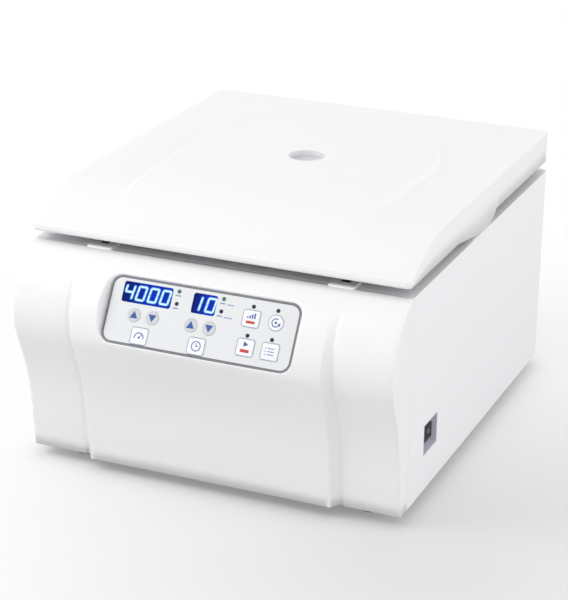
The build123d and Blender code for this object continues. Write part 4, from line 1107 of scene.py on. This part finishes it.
# The thin line round each key, and how far out from the film's face a sign lies on its key
key_line_inset = 0.2
key_line = 0.6
round_key_line = 0.55
key_corner = 2.4
key_ink_out = 0.62
key_inks = [blue_ink, red_ink, pale_blue_ink, line_ink]
for name, across, up, width, height in keys:
    mesh = key_drawing(name, across, up)
    outer = width - key_line_inset
    if height:
        outline_ring(mesh, across, up, outer, height - key_line_inset, key_corner, key_line, ink=3)
    elif name == "key_quick_spin":
        arc(mesh, across, up, outer / 2 - round_key_line, outer / 2, ink=3)
    laid_on_panel(mesh, f"{name}_sign", name, key_inks, key_ink_out)

# Marks on the power rocker: a bar on its pressed half and a ring on its raised half
rocker_pivot = Vector((192.0, -123.0, 67.0))
rocker_turn = radians(-7.0)
rocker_face = 2.5
rocker_rise = 1.5
rocker_radius = 12.3
rocker_ink_out = 0.04


def make_rocker_marks():
    """The bar and the ring, each laid on its own slanted half of the rocker."""
    mesh = bmesh.new()
    for side in (-1, 1):
        earlier = set(mesh.verts)
        if side < 0:
            bar(mesh, 0, 0, 0.9, 5.0)
        else:
            arc(mesh, 0, 0, 1.5, 2.1)
        turn = rocker_turn - atan2(rocker_rise, rocker_radius) * side
        out = Vector((cos(turn), sin(turn), 0))
        along_half = Vector((-sin(turn), cos(turn), 0))
        middle = Vector((rocker_face + rocker_rise / 2, side * rocker_radius / 2, 0))
        middle.rotate(Matrix.Rotation(rocker_turn, 3, "Z"))
        spot = rocker_pivot + middle + out * rocker_ink_out
        placed = axes_at(spot, along_half, Vector((0, 0, 1)), out)
        drawn = [vert for vert in mesh.verts if vert not in earlier]
        bmesh.ops.transform(mesh, matrix=placed, verts=drawn)
    face_towards(mesh, Vector((1, 0, 0)))
    return mesh


add_piece(make_rocker_marks(), "rocker_marks", "power_switch", [switch_ink])

# Camera, at the place and angle that fit the photo's edges of the machine
camera_place = Vector((769.5, -1827.4, 905.7)) * mm
camera_azimuth = radians(23.1)
camera_elevation = radians(21.34)
camera_roll = radians(0.66)
camera_data = bpy.data.cameras.new("camera")
camera_data.sensor_width = 36.0
camera_data.lens = 120.84
camera_data.clip_end = 50.0
camera = bpy.data.objects.new("camera", camera_data)
bpy.context.scene.collection.objects.link(camera)
bpy.context.scene.camera = camera
level = cos(camera_elevation)
back = Vector((sin(camera_azimuth) * level, -cos(camera_azimuth) * level, sin(camera_elevation)))
level_right = Vector((0, 0, 1)).cross(back).normalized()
level_up = back.cross(level_right)
camera.matrix_world = axes_at(
    camera_place,
    level_right * cos(camera_roll) + level_up * sin(camera_roll),
    level_up * cos(camera_roll) - level_right * sin(camera_roll),
    back,
)

# Light


def area_lamp(name, place, target, size, power):
    """A white soft box that points at a place on the object."""
    data = bpy.data.lights.new(name, "AREA")
    data.shape = "DISK"
    data.size = size
    data.energy = power
    lamp = bpy.data.objects.new(name, data)
    bpy.context.scene.collection.objects.link(lamp)
    lamp.location = place
    aim = Vector(target) - Vector(place)
    lamp.rotation_mode = "QUATERNION"
    lamp.rotation_quaternion = aim.to_track_quat("-Z", "Y")


area_lamp("front_left_softbox", place=(-1.6, -1.1, 1.8), target=(0, 0, 0.15), size=1.3, power=15.0)
area_lamp("right_softbox", place=(2.85, 0.5, 0.9), target=(0.2, 0, 0.15), size=1.4, power=12.0)

# The room's own light: bright walls all round, a dimmer ceiling
horizon_light = 1.7
zenith_light = 0.7
horizon_sharpness = 3.0
white = colour("#ffffff")
world = bpy.data.worlds.new("studio")
bpy.context.scene.world = world
world.use_nodes = True
sky = world.node_tree
sky.nodes.clear()
path = add_node(sky, "ShaderNodeLightPath")
seen = path.outputs["Is Camera Ray"]
for kind in ("Is Glossy Ray", "Is Transmission Ray"):
    seen = maths(sky, "MAXIMUM", seen, path.outputs[kind])
direction = add_node(sky, "ShaderNodeTexCoord")
heights = add_node(sky, "ShaderNodeSeparateXYZ", {"Vector": direction.outputs["Generated"]})
lowness = maths(sky, "SUBTRACT", 1.0, heights.outputs["Z"])
near_wall = maths(sky, "POWER", lowness, horizon_sharpness)
falloff = ranged(sky, near_wall, 0.0, 1.0, zenith_light, horizon_light)
ambient = add_node(sky, "ShaderNodeBackground", {"Color": white, "Strength": falloff})
white_room = add_node(sky, "ShaderNodeBackground", {"Color": white, "Strength": 1.0})
room = mixed(sky, seen, ambient.outputs["Background"], white_room.outputs["Background"])
add_node(sky, "ShaderNodeOutputWorld", {"Surface": room})

# The floor as the camera sees it, by distance in metres from a place by the machine's right front corner:
# a painted shadow greys it near that place, and further off it glows white, so that it ends in the
# background
shadow_middle = (0.24, -0.24, 0)
shadow_near, shadow_far, darkest_shadow = 0.05, 0.45, 0.76
glow_near, glow_far, least_glow = 0.4, 1.0, 0.2
floor_half = 6.0


def floor_paper():
    """White paper: a painted shadow greys it by the machine's right front corner for the camera; plain pale
    for other light.
    """
    material, tree, shader = principled("white_paper_floor")
    tree.nodes.remove(shader)
    place = add_node(tree, "ShaderNodeTexCoord")
    away = add_node(
        tree, "ShaderNodeVectorMath", {0: place.outputs["Object"], 1: shadow_middle}, operation="DISTANCE"
    )
    distance = away.outputs["Value"]
    # A painted shadow: the paper goes grey near the machine's right front corner
    painted_shadow = ranged(tree, distance, shadow_near, shadow_far, darkest_shadow)
    glow = ranged(tree, distance, glow_near, glow_far, least_glow)
    shadowed_paper = add_node(tree, "ShaderNodeBsdfDiffuse", {"Color": painted_shadow})
    glowing_white = add_node(tree, "ShaderNodeEmission", {"Color": white, "Strength": 1.0})
    seen_floor = mixed(tree, glow, shadowed_paper.outputs["BSDF"], glowing_white.outputs["Emission"])
    plain = add_node(tree, "ShaderNodeBsdfDiffuse", {"Color": colour("#cfcfcf")})
    ray = add_node(tree, "ShaderNodeLightPath")
    shown = mixed(tree, ray.outputs["Is Camera Ray"], plain.outputs["BSDF"], seen_floor)
    tree.links.new(shown, tree.nodes["Material Output"].inputs["Surface"])
    return material


mesh = bmesh.new()
bmesh.ops.create_grid(mesh, x_segments=8, y_segments=8, size=floor_half)
add_object(mesh, "studio_floor", [floor_paper()])

bpy.context.scene.view_settings.view_transform = "Standard"
